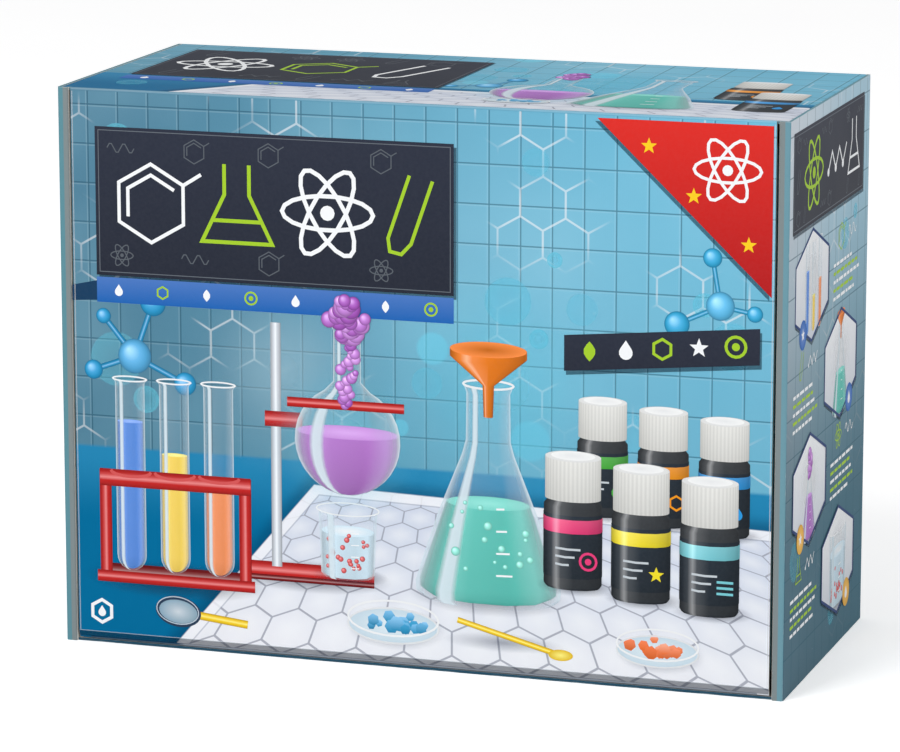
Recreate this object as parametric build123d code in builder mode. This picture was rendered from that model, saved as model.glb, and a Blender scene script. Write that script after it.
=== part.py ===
"""Chemistry set case: a roll-end tuck carton on its long side, its slotted board insert and its kit.

Millimetres. X runs to the right, Y to the back, Z up. The origin is on the ground, under the middle.
The lid is the front face: it hangs from the crease along the top edge and tucks in above the bottom wall.
"""

from math import ceil, cos, radians, sin
import os

from build123d import *

# ---- carton: its width and height follow from what it holds ----
case_depth = 170.0
board = 1.5  # printed board
roll_width = 6.0  # double side wall, outer face to inner face
crease_radius = 1.2  # outside of a fold
lid_gap = 1.2  # slit between the lid and a rolled side wall
seat = 0.3  # gap between a piece and what carries it
slip = 0.15  # clearance of a tab in its slot
tuck_depth = 38.0
tuck_lean = 7.5  # degrees that the tucked flap leans above level
tuck_inset = 6.0
tuck_corner = 12.0
foot_band = 4.0  # from the lid's foot up to the crease where its lower edge turns in
foot_turn = 1.0  # how far that edge turns in
ear_depth = 60.0
ear_inset = 12.0  # from the lid's ends to the ear's crease
ear_taper = 30.0
ear_corner = 10.0
corner_flap_length = 70.0
corner_flap_taper = 12.0
lock_tab_width = 30.0

# ---- board insert ----
insert_board = 2.0
lid_setback = 14.0  # from the lid's outer face to the front edges of the boards
ear_room = 5.0  # between an ear and the insert
flap_clearance = 1.7
flap_room = 6.0  # between the tuck flap and the side boards
shelf_tab_width = 24.0
divider_tab_width = 40.0
lab_headroom = 9.0
bottle_headroom = 4.5
booklet_thickness = 4.0
booklet_width = 297.0
booklet_height = 210.0

# ---- multifunction lab ----
lab_height = 128.0  # to the funnel rims
lab_frame_height = 106.0
lab_frame_depth = 12.0
lab_bar = 7.0
lab_shoulder = 76.0
lab_cradle = 62.0
lab_tower_side = 23.0  # from an end to the near leg of its tower
lab_tower_width = 27.0
lab_corner = 6.0
mould_radius = 1.2  # rounding of the red frames' edges
lab_offset = 34.0  # from the insert's front to the middle of the lab
ring_height = 8.0
ring_wall = 3.0
sleeve_radius = 9.0
sleeve_bore = 6.0
sleeve_length = 26.0
sleeve_flange = 2.0
groove_depth = 0.5
groove_width = 1.5
tank_width = 130.0
tank_room = 3.0  # from the tank's end to the lab's frame
tank_depth = 50.0
tank_height = 44.0
tank_wall = 1.5
tank_corner = 8.0
funnel_radius = 20.0
funnel_wall = 1.5
funnel_stem = 2.5
funnel_bore = 1.5
funnel_stem_length = 52.0
dosing_radius = 20.0
dosing_body = 20.0
dosing_shoulder = 14.0
dosing_wall = 1.5
dosing_neck = 10.0
dosing_cap_wall = 3.0
dosing_cap_height = 14.0
nozzle_length = 10.0
nozzle_tip = 1.5
nozzle_root = 5.0
clip_height = 50.0  # of the side clip's lower end above the lab's foot
clip_length = 26.0
clip_wall = 2.2
clip_arm = 3.0
clip_arm_width = 8.0

# ---- tubes and rack ----
tube_radius = 8.0
tube_wall = 1.0
tube_length = 100.0
tube_lip = 1.0
stopper_plug = 10.0
stopper_head = 8.0
rack_tubes = 3
rack_pitch = 24.0
rack_height = 52.0
rack_depth = 26.0
rack_bar = 4.0
rack_loop_depth = 16.0
rack_corner = 9.0
rack_dimple = 2.0
rack_offset = 8.0  # from the divider to the rack, and from the rack to the flask
flask_room = 8.0  # right of the flask

# ---- bottles ----
bottle_count = 6
bottle_pitch = 38.0
bottle_radius = 15.0
bottle_body = 42.0
bottle_height = 68.0
bottle_wall = 1.4
neck_radius = 11.0
cap_radius = 14.2
cap_height = 21.5
cap_ribs = 30
cap_fit = 0.1  # radial clearance of a cap on its neck
rib_depth = 0.35
rib_gap = 1.5
powder_level = 36.0
dropper_count = 2
dropper_pitch = 26.0
dropper_radius = 9.0
dropper_body = 32.0
dropper_height = 60.0
dropper_neck = 5.0
ink_level = 24.0
row_offset = 21.0  # from the insert's front to the middle of the bottle row

# ---- flask, beaker and dish ----
flask_radius = 32.0
flask_height = 94.0
flask_neck = 12.0
beaker_radius = 31.0
beaker_foot = 27.0
beaker_height = 70.0
glass_wall = 1.5
dish_radius = 30.0
dish_height = 13.0
dish_wall = 1.6

# ---- goggles ----
visor_width = 146.0
visor_radius = 110.0
visor_height = 46.0
visor_wall = 2.0
goggles_headroom = 14.0
brow_height = 5.0
brow_depth = 5.0
nose_radius = 13.0
temple_length = 92.0
temple_straight = 62.0  # from the hinge to the bend over the ear
temple_height = 12.0
temple_tip = 8.0
temple_drop = 10.0
temple_thickness = 3.0
temple_spacing = 5.0  # between the two temples when both are folded
pin_radius = 1.5
pin_fit = 0.08  # radial clearance of a hinge pin
knuckle_radius = 3.2

# ---- small tools ----
magnifier_radius = 24.0
magnifier_rim = 3.0
magnifier_height = 6.0
handle_length = 72.0
handle_width = 10.0
lens_fit = 0.2
pipette_length = 132.0
pipette_bulb = 7.0
pipette_tube = 3.2
spatula_length = 100.0
spatula_width = 11.0
spatula_thickness = 1.8

# ---- places worked out from the sizes ----
lid_foot = board + seat
tuck_top = lid_foot + tuck_depth * sin(radians(tuck_lean)) + board * cos(radians(tuck_lean))
floor_level = tuck_top + flap_clearance
middle_level = floor_level + insert_board + lab_height + lab_headroom
upper_level = middle_level + insert_board + bottle_height + bottle_headroom
levels = {"floor_board": floor_level, "middle_shelf": middle_level, "upper_shelf": upper_level}
floor_top = floor_level + insert_board + seat
middle_top = middle_level + insert_board + seat
upper_top = upper_level + insert_board + seat

clip_reach = 2 * (tube_radius + seat + clip_wall) + clip_arm
rack_width = rack_tubes * rack_pitch + 2 * rack_bar
dish_lid_radius = dish_radius + seat + dish_wall
lab_width = tank_width + 2 * (tank_room + lab_bar)
left_bay = clip_reach + seat + lab_width + 3 * insert_board
right_bay = 2 * rack_offset + rack_width + 2 * flask_radius + flask_room
bottle_row_width = bottle_count * bottle_pitch + dropper_count * dropper_pitch
middle_row = bottle_row_width + 2 * (dish_lid_radius + seat)
side_depth = roll_width + lid_gap + board + ear_room + insert_board
case_width = float(ceil(2 * side_depth + max(left_bay + right_bay, middle_row)))
case_height = float(ceil(upper_top + visor_height + goggles_headroom + board))

half_width = case_width / 2
front = -case_depth / 2
rear = case_depth / 2
roof = case_height - board
front_face = front + board  # inner face of the lid
rear_face = rear - board  # inner face of the back panel
wall_face = half_width - roll_width  # inner face of a side wall
lid_half = wall_face - lid_gap

insert_half = lid_half - board - ear_room
inner_half = insert_half - insert_board
insert_front = front + lid_setback
insert_rear = rear_face - booklet_thickness - 2 * seat
insert_middle = (insert_front + insert_rear) / 2
lab_left = -inner_half + clip_reach + seat
lab_y = insert_front + lab_offset
lower_divider_x = lab_left + lab_width + 2 * insert_board
upper_divider_x = lower_divider_x

os.makedirs("parts", exist_ok=True)


def keep(piece, name):
    """Labels a finished piece and writes it as one file."""
    piece.label = name
    export_step(piece, f"parts/{name}.step")


def block(x, y, z, mode=Mode.ADD):
    """Adds or cuts a box between a low and a high value each way."""
    with Locations(((x[0] + x[1]) / 2, (y[0] + y[1]) / 2, (z[0] + z[1]) / 2)):
        Box(x[1] - x[0], y[1] - y[0], z[1] - z[0], mode=mode)


def sided(side, near, far):
    """A low and a high X on the left (-1) or the right (1) of the middle."""
    return tuple(sorted((side * near, side * far)))


def turned(base, outline):
    """A round piece about an upright axis through base, from an outline of (radius, height) points."""
    with BuildPart() as piece:
        with BuildSketch(Plane(origin=base, x_dir=(1, 0, 0), z_dir=(0, -1, 0))):
            with BuildLine():
                Polyline(*outline, close=True)
            make_face()
        revolve(axis=Axis(base, (0, 0, 1)))
    return piece.part


def fold(corner, one, two):
    """A folded corner: where its outside leaves each face, its middle, and its inner corner."""
    one, two = Vector(*one).normalized(), Vector(*two).normalized()
    middle = (one + two).normalized()
    half = radians(one.get_angle(two) / 2)
    corner = Vector(*corner)
    leave = crease_radius * cos(half) / sin(half)
    first = corner + one * leave
    centre = corner + middle * (crease_radius / sin(half) - crease_radius)
    second = corner + two * leave
    inner = corner + middle * (board / sin(half))
    return [(p.X, p.Y) for p in (first, centre, second, inner)]


# ---- carton: fixed panels ----
tab_heights = [case_height / 2 + step * case_height / 4 for step in (-1, 1)]

with BuildPart() as back_panel:
    block((-half_width, half_width), (rear_face, rear), (0, case_height))
    fillet(back_panel.faces().sort_by(Axis.Y)[-1].edges(), crease_radius)
    for side in (-1, 1):
        for height in tab_heights:
            block(
                sided(side, wall_face - slip, wall_face + board + slip),
                (rear_face, rear),
                (height - lock_tab_width / 2 - slip, height + lock_tab_width / 2 + slip),
                mode=Mode.SUBTRACT,
            )
keep(back_panel.part, "back_panel")

with BuildPart() as bottom_wall:
    block((-half_width + board, half_width - board), (front_face, rear_face), (0, board))
    fillet(bottom_wall.edges().filter_by(Axis.Y).group_by(Axis.Z)[0], crease_radius)
keep(bottom_wall.part, "bottom_wall")

top_fold = fold((front, case_height), (0, -1), (1, 0))
with BuildPart() as top_wall:
    block((-half_width + board, half_width - board), (front_face, rear_face), (roof, case_height))
    fillet(top_wall.edges().filter_by(Axis.Y).group_by(Axis.Z)[-1], crease_radius)
    with BuildSketch(Plane.YZ.offset(-lid_half)):
        with BuildLine():
            Polyline(top_fold[1], top_fold[2], (front_face, case_height), top_fold[3], close=True)
        make_face()
    extrude(amount=2 * lid_half)
keep(top_wall.part, "top_wall")

for side, hand in ((-1, "left"), (1, "right")):
    with BuildPart() as side_wall:
        block(sided(side, wall_face, half_width), (front, rear_face), (0, case_height))
        outer_folds = side_wall.edges().filter_by(Axis.Z).group_by(Axis.Y)[0]
        fillet(outer_folds, crease_radius)
        gap = sided(side, wall_face + board, half_width - board)
        block(gap, (front_face, rear_face), (0, case_height), mode=Mode.SUBTRACT)
        under_end_walls = sided(side, wall_face, half_width - board)
        block(under_end_walls, (front_face, rear_face), (roof, case_height), mode=Mode.SUBTRACT)
        block(under_end_walls, (front_face, rear_face), (0, board), mode=Mode.SUBTRACT)
        for height in tab_heights:
            block(
                sided(side, wall_face, wall_face + board),
                (rear_face, rear),
                (height - lock_tab_width / 2, height + lock_tab_width / 2),
            )
    keep(side_wall.part, f"{hand}_side_wall")

flap_x = (wall_face + half_width - board) / 2  # inner face of a corner flap inside the double wall
with BuildPart() as corner_flaps:
    for side in (-1, 1):
        with BuildSketch(Plane.YZ.offset(side * flap_x - (board if side < 0 else 0))):
            for base, tip in ((roof, roof - corner_flap_length), (board, board + corner_flap_length)):
                with BuildLine():
                    Polyline(
                        (front_face + seat, base),
                        (rear_face - seat, base),
                        (rear_face - corner_flap_taper, tip),
                        (front_face + corner_flap_taper, tip),
                        close=True,
                    )
                make_face()
        extrude(amount=board)
keep(corner_flaps.part, "corner_flaps")

# ---- carton: lid, tuck flap and ears ----
lean = (cos(radians(tuck_lean)), sin(radians(tuck_lean)))
lid_edge = (front + foot_turn, lid_foot)
foot_fold = fold(lid_edge, (-foot_turn, foot_band), lean)

with BuildPart() as lid_panel:
    with BuildSketch(Plane.YZ.offset(-lid_half)):
        with BuildLine():
            Polyline(
                foot_fold[1],
                foot_fold[0],
                (front, lid_foot + foot_band),
                top_fold[0],
                top_fold[1],
                top_fold[3],
                (front_face, lid_foot + foot_band),
                foot_fold[3],
                close=True,
            )
        make_face()
    extrude(amount=2 * lid_half)
keep(lid_panel.part, "lid_panel")

tuck_half = lid_half - tuck_inset
tuck_tip = (lid_edge[0] + tuck_depth * lean[0], lid_edge[1] + tuck_depth * lean[1])
with BuildPart() as lid_tuck_flap:
    with BuildSketch(Plane.YZ.offset(-tuck_half)):
        with BuildLine():
            Polyline(
                foot_fold[1],
                foot_fold[2],
                tuck_tip,
                (tuck_tip[0] - board * lean[1], tuck_tip[1] + board * lean[0]),
                foot_fold[3],
                close=True,
            )
        make_face()
    extrude(amount=2 * tuck_half)
    tip_corners = lid_tuck_flap.edges().filter_by(lambda e: e.length < 1.01 * board).group_by(Axis.Y)[-1]
    fillet(tip_corners, tuck_corner)
keep(lid_tuck_flap.part, "lid_tuck_flap")

ear_low = lid_foot + ear_inset
ear_high = case_height - ear_inset
for side, hand in ((-1, "left"), (1, "right")):
    with BuildPart() as lid_ear:
        with BuildSketch(Plane.YZ.offset(min(sided(side, lid_half - board, lid_half)))):
            with BuildLine():
                Polyline(
                    (front_face, ear_low),
                    (front_face, ear_high),
                    (front_face + ear_depth, ear_high - ear_taper),
                    (front_face + ear_depth, ear_low + ear_taper),
                    close=True,
                )
            make_face()
        extrude(amount=board)
        fillet(lid_ear.edges().filter_by(Axis.X).group_by(Axis.Y)[-1], ear_corner)
    keep(lid_ear.part, f"lid_{hand}_ear")

# ---- board insert ----
tab_places = [insert_middle + step * (insert_rear - insert_front) / 4 for step in (-1, 1)]
# the side boards reach down to the bottom wall behind the flap
flap_notch = lid_edge[0] + tuck_depth + flap_room
# each divider's place, the board it stands on, the top of its wall and the top of its tab
dividers = {
    "lower_divider": (lower_divider_x, "floor_board", middle_level - slip, middle_level + insert_board),
    "upper_divider": (upper_divider_x, "upper_shelf", roof - seat, roof - seat),
}


def divider_slot(x, level):
    """Cuts the slot in a shelf that a divider's tab passes through."""
    half = divider_tab_width / 2 + slip
    block(
        (x - slip, x + insert_board + slip),
        (insert_middle - half, insert_middle + half),
        (level, level + insert_board),
        mode=Mode.SUBTRACT,
    )


for side, hand in ((-1, "left"), (1, "right")):
    with BuildPart() as side_board:
        with BuildSketch(Plane.YZ.offset(min(sided(side, inner_half, insert_half)))):
            with BuildLine():
                Polyline(
                    (insert_front, floor_level),
                    (flap_notch, floor_level),
                    (flap_notch, board + seat),
                    (insert_rear, board + seat),
                    (insert_rear, roof - seat),
                    (insert_front, roof - seat),
                    close=True,
                )
            make_face()
        extrude(amount=insert_board)
        for level in levels.values():
            for place in tab_places:
                block(
                    sided(side, inner_half, insert_half),
                    (place - shelf_tab_width / 2 - slip, place + shelf_tab_width / 2 + slip),
                    (level - slip, level + insert_board + slip),
                    mode=Mode.SUBTRACT,
                )
    keep(side_board.part, f"insert_{hand}_board")

for name, level in levels.items():
    with BuildPart() as shelf:
        shelf_half = inner_half - slip
        block((-shelf_half, shelf_half), (insert_front, insert_rear), (level, level + insert_board))
        for place in tab_places:
            block(
                (-insert_half, insert_half),
                (place - shelf_tab_width / 2, place + shelf_tab_width / 2),
                (level, level + insert_board),
            )
        for x, floor, _, tab_top in dividers.values():
            if name == floor or tab_top == level + insert_board:
                divider_slot(x, level)
    keep(shelf.part, name)

for name, (x, floor, wall_top, tab_top) in dividers.items():
    with BuildPart() as divider:
        block(
            (x, x + insert_board),
            (insert_front, insert_rear),
            (levels[floor] + insert_board + slip, wall_top),
        )
        block(
            (x, x + insert_board),
            (insert_middle - divider_tab_width / 2, insert_middle + divider_tab_width / 2),
            (levels[floor], tab_top),
        )
    keep(divider.part, name)

with BuildPart() as instruction_booklet:
    block(
        (-booklet_width / 2, booklet_width / 2),
        (insert_rear + seat, insert_rear + seat + booklet_thickness),
        (board + seat, board + seat + booklet_height),
    )
    spine = instruction_booklet.edges().filter_by(Axis.Z).group_by(Axis.X)[0]
    fillet(spine, 0.45 * booklet_thickness)
keep(instruction_booklet.part, "instruction_booklet")

# ---- multifunction lab ----
half_bar = lab_bar / 2
towers = [lab_tower_side, lab_width - lab_tower_side - lab_tower_width]
tower_middles = [lab_left + t + lab_tower_width / 2 for t in towers]
lab_middle = lab_left + lab_width / 2
lab_path = [
    (half_bar, half_bar),
    (half_bar, lab_shoulder),
    (towers[0], lab_shoulder),
    (towers[0], lab_frame_height - half_bar),
    (towers[0] + lab_tower_width, lab_frame_height - half_bar),
    (towers[0] + lab_tower_width, lab_cradle),
    (towers[1], lab_cradle),
    (towers[1], lab_frame_height - half_bar),
    (towers[1] + lab_tower_width, lab_frame_height - half_bar),
    (towers[1] + lab_tower_width, lab_shoulder),
    (lab_width - half_bar, lab_shoulder),
    (lab_width - half_bar, half_bar),
]
ring_low = lab_frame_height - ring_height
cradle_low = lab_cradle - ring_height / 2
cradle_bore = dosing_neck + dosing_cap_wall + 2 * seat


def ring(x, low, bore):
    """Adds a round socket about an upright axis and opens its bore."""
    with Locations((x, lab_y, floor_top + low + ring_height / 2)):
        Cylinder(bore + ring_wall, ring_height)
        Cylinder(bore, ring_height + lab_bar, mode=Mode.SUBTRACT)


with BuildPart() as lab_frame:
    lab_plane = Plane(
        origin=(lab_left, lab_y + lab_frame_depth / 2, floor_top), x_dir=(1, 0, 0), z_dir=(0, -1, 0)
    )
    with BuildSketch(lab_plane):
        with BuildLine():
            FilletPolyline(*lab_path, radius=lab_corner, close=True)
        centre = make_face(mode=Mode.PRIVATE)
        offset(centre, amount=half_bar, mode=Mode.ADD)
        offset(centre, amount=-half_bar, mode=Mode.SUBTRACT)
    extrude(amount=lab_frame_depth)
    fillet(lab_frame.faces().filter_by(Axis.Y).edges(), mould_radius)
    for middle in tower_middles:
        ring(middle, ring_low, sleeve_radius + slip)
    ring(lab_middle, cradle_low, cradle_bore)
keep(lab_frame.part, "lab_frame")

tank_floor = floor_top + lab_bar + seat
with BuildPart() as lab_tank:
    with BuildSketch(Plane.XY.offset(tank_floor)):
        with Locations((lab_middle, lab_y)):
            RectangleRounded(tank_width, tank_depth, tank_corner)
    extrude(amount=tank_height)
    with BuildSketch(Plane.XY.offset(tank_floor + tank_wall)):
        with Locations((lab_middle, lab_y)):
            RectangleRounded(
                tank_width - 2 * tank_wall, tank_depth - 2 * tank_wall, tank_corner - tank_wall
            )
    extrude(amount=tank_height, mode=Mode.SUBTRACT)
keep(lab_tank.part, "lab_tank")

sleeve_foot = lab_frame_height - sleeve_length
with BuildPart() as tower_sleeves:
    for middle in tower_middles:
        with Locations((middle, lab_y, floor_top + sleeve_foot)):
            Cylinder(sleeve_radius, sleeve_length + seat, align=(Align.CENTER, Align.CENTER, Align.MIN))
        with Locations((middle, lab_y, floor_top + lab_frame_height + seat)):
            Cylinder(
                sleeve_radius + ring_wall, sleeve_flange, align=(Align.CENTER, Align.CENTER, Align.MIN)
            )
        groove_pitch = 2 * groove_width
        groove_count = int((sleeve_length - ring_height) / groove_pitch)
        for groove in range(groove_count):
            height = floor_top + sleeve_foot + (groove + 0.5) * groove_pitch
            with Locations((middle, lab_y, height)):
                Cylinder(sleeve_radius + groove_depth, groove_width, mode=Mode.SUBTRACT)
                Cylinder(sleeve_radius - groove_depth, groove_width)
        with Locations((middle, lab_y, floor_top + lab_frame_height)):
            Cylinder(sleeve_bore, 3 * sleeve_length, mode=Mode.SUBTRACT)
keep(tower_sleeves.part, "tower_sleeves")

cone_low = lab_frame_height + seat + sleeve_flange + seat
stem_radius = sleeve_bore - slip
funnel_outline = [
    (funnel_bore, cone_low - funnel_stem_length),
    (funnel_stem, cone_low - funnel_stem_length),
    (funnel_stem, cone_low - sleeve_length),
    (stem_radius, cone_low - sleeve_length + stem_radius),
    (stem_radius, cone_low),
    (funnel_radius, lab_height - 2 * funnel_wall),
    (funnel_radius, lab_height),
    (funnel_radius - funnel_wall, lab_height),
    (funnel_radius - funnel_wall, lab_height - 1.5 * funnel_wall),
    (funnel_bore, cone_low + funnel_wall),
]
for middle, name in zip(tower_middles, ("orange_funnel", "purple_funnel")):
    keep(turned((middle, lab_y, floor_top), funnel_outline), name)

dosing_base = floor_top + cradle_low + ring_height + seat
with BuildPart() as dosing_bottle:
    with BuildSketch(Plane(origin=(lab_middle, lab_y, dosing_base), x_dir=(1, 0, 0), z_dir=(0, -1, 0))):
        for shrink, foot, mode in ((0, 0, Mode.ADD), (dosing_wall, dosing_wall, Mode.SUBTRACT)):
            radius = dosing_radius - shrink
            dome = dosing_shoulder + dosing_body
            with BuildLine():
                Polyline((0, dome + radius), (0, foot), (radius - dosing_radius / 4, foot))
                Line((radius - dosing_radius / 4, foot), (radius, dosing_shoulder))
                Line((radius, dosing_shoulder), (radius, dome))
                ThreePointArc(
                    (radius, dome),
                    (radius * cos(radians(45)), dome + radius * sin(radians(45))),
                    (0, dome + radius),
                )
            make_face(mode=mode)
        neck_reach = dosing_cap_height - dosing_cap_wall - seat
        with Locations((dosing_neck / 2, -neck_reach / 2 + dosing_wall / 2)):
            Rectangle(dosing_neck, neck_reach + dosing_wall)
        with Locations((0, -neck_reach / 2)):
            Rectangle(2 * (dosing_neck - dosing_wall), neck_reach + 4 * dosing_wall, mode=Mode.SUBTRACT)
    revolve(axis=Axis((lab_middle, lab_y, dosing_base), (0, 0, 1)))
keep(dosing_bottle.part, "dosing_bottle")

cap_outer = dosing_neck + dosing_cap_wall
dosing_cap_outline = [
    (0, -dosing_cap_height - nozzle_length),
    (nozzle_tip, -dosing_cap_height - nozzle_length),
    (nozzle_root, -dosing_cap_height),
    (cap_outer, -dosing_cap_height),
    (cap_outer, -seat),
    (dosing_neck + cap_fit, -seat),
    (dosing_neck + cap_fit, -dosing_cap_height + dosing_cap_wall),
    (0, -dosing_cap_height + dosing_cap_wall),
]
keep(turned((lab_middle, lab_y, dosing_base), dosing_cap_outline), "dosing_cap")

clip_x = lab_left - clip_arm - clip_wall - seat - tube_radius
with BuildPart() as side_clip:
    with Locations((clip_x, lab_y, floor_top + clip_height + clip_length / 2)):
        Cylinder(tube_radius + seat + clip_wall, clip_length)
        for groove in range(-2, 3):
            with Locations((0, 0, groove * 3 * groove_width)):
                Cylinder(tube_radius + 4 * clip_wall, groove_width, mode=Mode.SUBTRACT)
                Cylinder(tube_radius + seat + clip_wall - groove_depth, groove_width)
    block(
        (clip_x, lab_left),
        (lab_y - clip_arm_width / 2, lab_y + clip_arm_width / 2),
        (floor_top + clip_height + clip_length / 4, floor_top + clip_height + 3 * clip_length / 4),
    )
    with Locations((clip_x, lab_y, floor_top + clip_height + clip_length / 2)):
        Cylinder(tube_radius + seat, 2 * clip_length, mode=Mode.SUBTRACT)
keep(side_clip.part, "side_clip")


# ---- test tubes, rack and stopper ----
def test_tube(base):
    """A round-bottomed tube with a lip."""
    with BuildPart() as tube:
        with BuildSketch(Plane(origin=base, x_dir=(1, 0, 0), z_dir=(0, -1, 0))):
            for foot, mode in ((0, Mode.ADD), (tube_wall, Mode.SUBTRACT)):
                radius = tube_radius - foot
                with BuildLine():
                    ThreePointArc(
                        (0, foot),
                        (radius * sin(radians(45)), tube_radius - radius * cos(radians(45))),
                        (radius, tube_radius),
                    )
                    Polyline((radius, tube_radius), (radius, tube_length), (0, tube_length), (0, foot))
                make_face(mode=mode)
            with Locations((tube_radius + tube_lip / 2, tube_length - tube_lip)):
                Rectangle(tube_lip, 2 * tube_lip)
        revolve(axis=Axis(base, (0, 0, 1)))
    return tube.part


rack_x = lower_divider_x + insert_board + rack_offset + rack_width / 2
rack_y = lab_y
rack_places = [rack_x + (i - (rack_tubes - 1) / 2) * rack_pitch for i in range(rack_tubes)]
rack_rest = rack_bar - rack_dimple + seat
tube_bore = tube_radius + 2 * slip
with BuildPart() as tube_rack:
    loop_back = (rack_x, rack_y + rack_loop_depth / 2, floor_top + rack_height / 2)
    with BuildSketch(Plane(origin=loop_back, x_dir=(1, 0, 0), z_dir=(0, -1, 0))):
        RectangleRounded(rack_width, rack_height, rack_corner)
        RectangleRounded(
            rack_width - 2 * rack_bar,
            rack_height - 2 * rack_bar,
            rack_corner - rack_bar,
            mode=Mode.SUBTRACT,
        )
    extrude(amount=rack_loop_depth)
    fillet(tube_rack.faces().filter_by(Axis.Y).edges(), mould_radius)
    with BuildSketch(Plane.XY.offset(floor_top)):
        with Locations((rack_x, rack_y)):
            RectangleRounded(rack_width - 2 * rack_corner, rack_depth, rack_bar)
    extrude(amount=rack_bar)
    for place in rack_places:
        with Locations((place, rack_y, floor_top + rack_height - rack_bar)):
            Cylinder(tube_bore + ring_wall / 2, 2 * rack_bar)
    for place in rack_places:
        with Locations((place, rack_y, floor_top + rack_height)):
            Cylinder(tube_bore, 6 * rack_bar, mode=Mode.SUBTRACT)
        with Locations((place, rack_y, floor_top + rack_bar)):
            Cylinder(tube_bore, 2 * rack_dimple, mode=Mode.SUBTRACT)
keep(tube_rack.part, "tube_rack")

for number, place in enumerate(rack_places, 1):
    keep(test_tube((place, rack_y, floor_top + rack_rest)), f"test_tube_{number}")
keep(test_tube((clip_x, lab_y, floor_top)), f"test_tube_{rack_tubes + 1}")

plug_radius = tube_radius - tube_wall - slip
stopper_outline = [
    (0, -stopper_plug),
    (plug_radius - slip, -stopper_plug),
    (plug_radius, -stopper_plug + tube_lip),
    (plug_radius, seat),
    (tube_radius + tube_lip, seat),
    (tube_radius, stopper_head),
    (0, stopper_head),
]
keep(turned((clip_x, lab_y, floor_top + tube_length), stopper_outline), "tube_stopper")

# ---- powder bottles and dropper bottles ----
row_y = insert_front + row_offset
bottle_row = [-inner_half + bottle_pitch / 2 + i * bottle_pitch for i in range(bottle_count)]
dropper_row = [bottle_row[-1] + bottle_pitch / 2 + (i + 0.5) * dropper_pitch for i in range(dropper_count)]
neck_top = bottle_height - bottle_wall - seat
cap_foot = bottle_height - cap_height
inner_radius = bottle_radius - bottle_wall
bottle_outline = [
    (0, 0),
    (inner_radius, 0),
    (bottle_radius, bottle_wall),
    (bottle_radius, bottle_body),
    (neck_radius, cap_foot - seat),
    (neck_radius, neck_top),
    (neck_radius - bottle_wall, neck_top),
    (neck_radius - bottle_wall, cap_foot - bottle_wall),
    (inner_radius, bottle_body - bottle_wall),
    (inner_radius, bottle_wall),
    (0, bottle_wall),
]
cap_outline = [
    (neck_radius + cap_fit, cap_foot),
    (cap_radius, cap_foot),
    (cap_radius, bottle_height - bottle_wall / 2),
    (cap_radius - bottle_wall / 2, bottle_height),
    (0, bottle_height),
    (0, bottle_height - bottle_wall),
    (neck_radius + cap_fit, bottle_height - bottle_wall),
]
dropper_outline = [
    (0, 0),
    (dropper_radius, 0),
    (dropper_radius, dropper_body),
    (dropper_neck, dropper_body + dropper_neck),
    (dropper_neck, dropper_body + 2 * dropper_neck),
    (dropper_neck - bottle_wall, dropper_body + 2 * dropper_neck),
    (dropper_neck - bottle_wall, dropper_body + dropper_neck - bottle_wall),
    (dropper_radius - bottle_wall, dropper_body - bottle_wall),
    (dropper_radius - bottle_wall, bottle_wall),
    (0, bottle_wall),
]
dropper_cap_foot = dropper_body + dropper_neck + seat
dropper_cap_outline = [
    (dropper_neck + cap_fit, dropper_cap_foot),
    (dropper_radius - bottle_wall, dropper_cap_foot),
    (dropper_radius - bottle_wall, dropper_cap_foot + dropper_neck),
    (dropper_neck, dropper_cap_foot + 2 * dropper_neck),
    (0.5 * dropper_neck, dropper_height - bottle_wall),
    (0.25 * dropper_neck, dropper_height),
    (0, dropper_height),
    (0, dropper_body + 2 * dropper_neck + seat),
    (dropper_neck + cap_fit, dropper_body + 2 * dropper_neck + seat),
]

cap_turned = turned((0, 0, 0), cap_outline)
with BuildPart() as ribbed_cap:
    add(cap_turned)
    with PolarLocations(cap_radius, cap_ribs):
        with Locations((0, 0, cap_foot + (cap_height - 2 * bottle_wall) / 2)):
            Box(2 * rib_depth, rib_gap, cap_height - 2 * bottle_wall, mode=Mode.SUBTRACT)
for number, x in enumerate(bottle_row, 1):
    keep(turned((x, row_y, middle_top), bottle_outline), f"bottle_{number}")
    keep(ribbed_cap.part.moved(Location((x, row_y, middle_top))), f"bottle_cap_{number}")
for number, x in enumerate(dropper_row, 1):
    keep(turned((x, row_y, middle_top), dropper_outline), f"dropper_{number}")
    keep(turned((x, row_y, middle_top), dropper_cap_outline), f"dropper_cap_{number}")

with BuildPart() as bottle_contents:
    fills = [(x, inner_radius, powder_level) for x in bottle_row]
    fills += [(x, dropper_radius - bottle_wall, ink_level) for x in dropper_row]
    for x, radius, level in fills:
        with Locations((x, row_y, middle_top + bottle_wall + slip)):
            Cylinder(
                radius - slip, level - bottle_wall - slip, align=(Align.CENTER, Align.CENTER, Align.MIN)
            )
keep(bottle_contents.part, "bottle_contents")

# ---- flask, beaker and dish ----
flask_x = rack_x + rack_width / 2 + rack_offset + flask_radius
beaker_x = inner_half - beaker_radius - 2 * glass_wall - insert_board
beaker_y = insert_rear - beaker_radius - 2 * glass_wall
flask_shoulder = 0.75 * flask_height
flask_outline = [
    (0, 0),
    (flask_radius - glass_wall, 0),
    (flask_radius, glass_wall),
    (flask_radius, 4 * glass_wall),
    (flask_neck, flask_shoulder),
    (flask_neck, flask_height - 2 * glass_wall),
    (flask_neck + glass_wall, flask_height - 2 * glass_wall),
    (flask_neck + glass_wall, flask_height),
    (flask_neck - glass_wall, flask_height),
    (flask_neck - glass_wall, flask_shoulder - glass_wall / 3),
    (flask_radius - glass_wall, 3.6 * glass_wall),
    (flask_radius - glass_wall, 2 * glass_wall),
    (flask_radius - 2 * glass_wall, glass_wall),
    (0, glass_wall),
]
keep(turned((flask_x, lab_y, floor_top), flask_outline), "flask")

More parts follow.
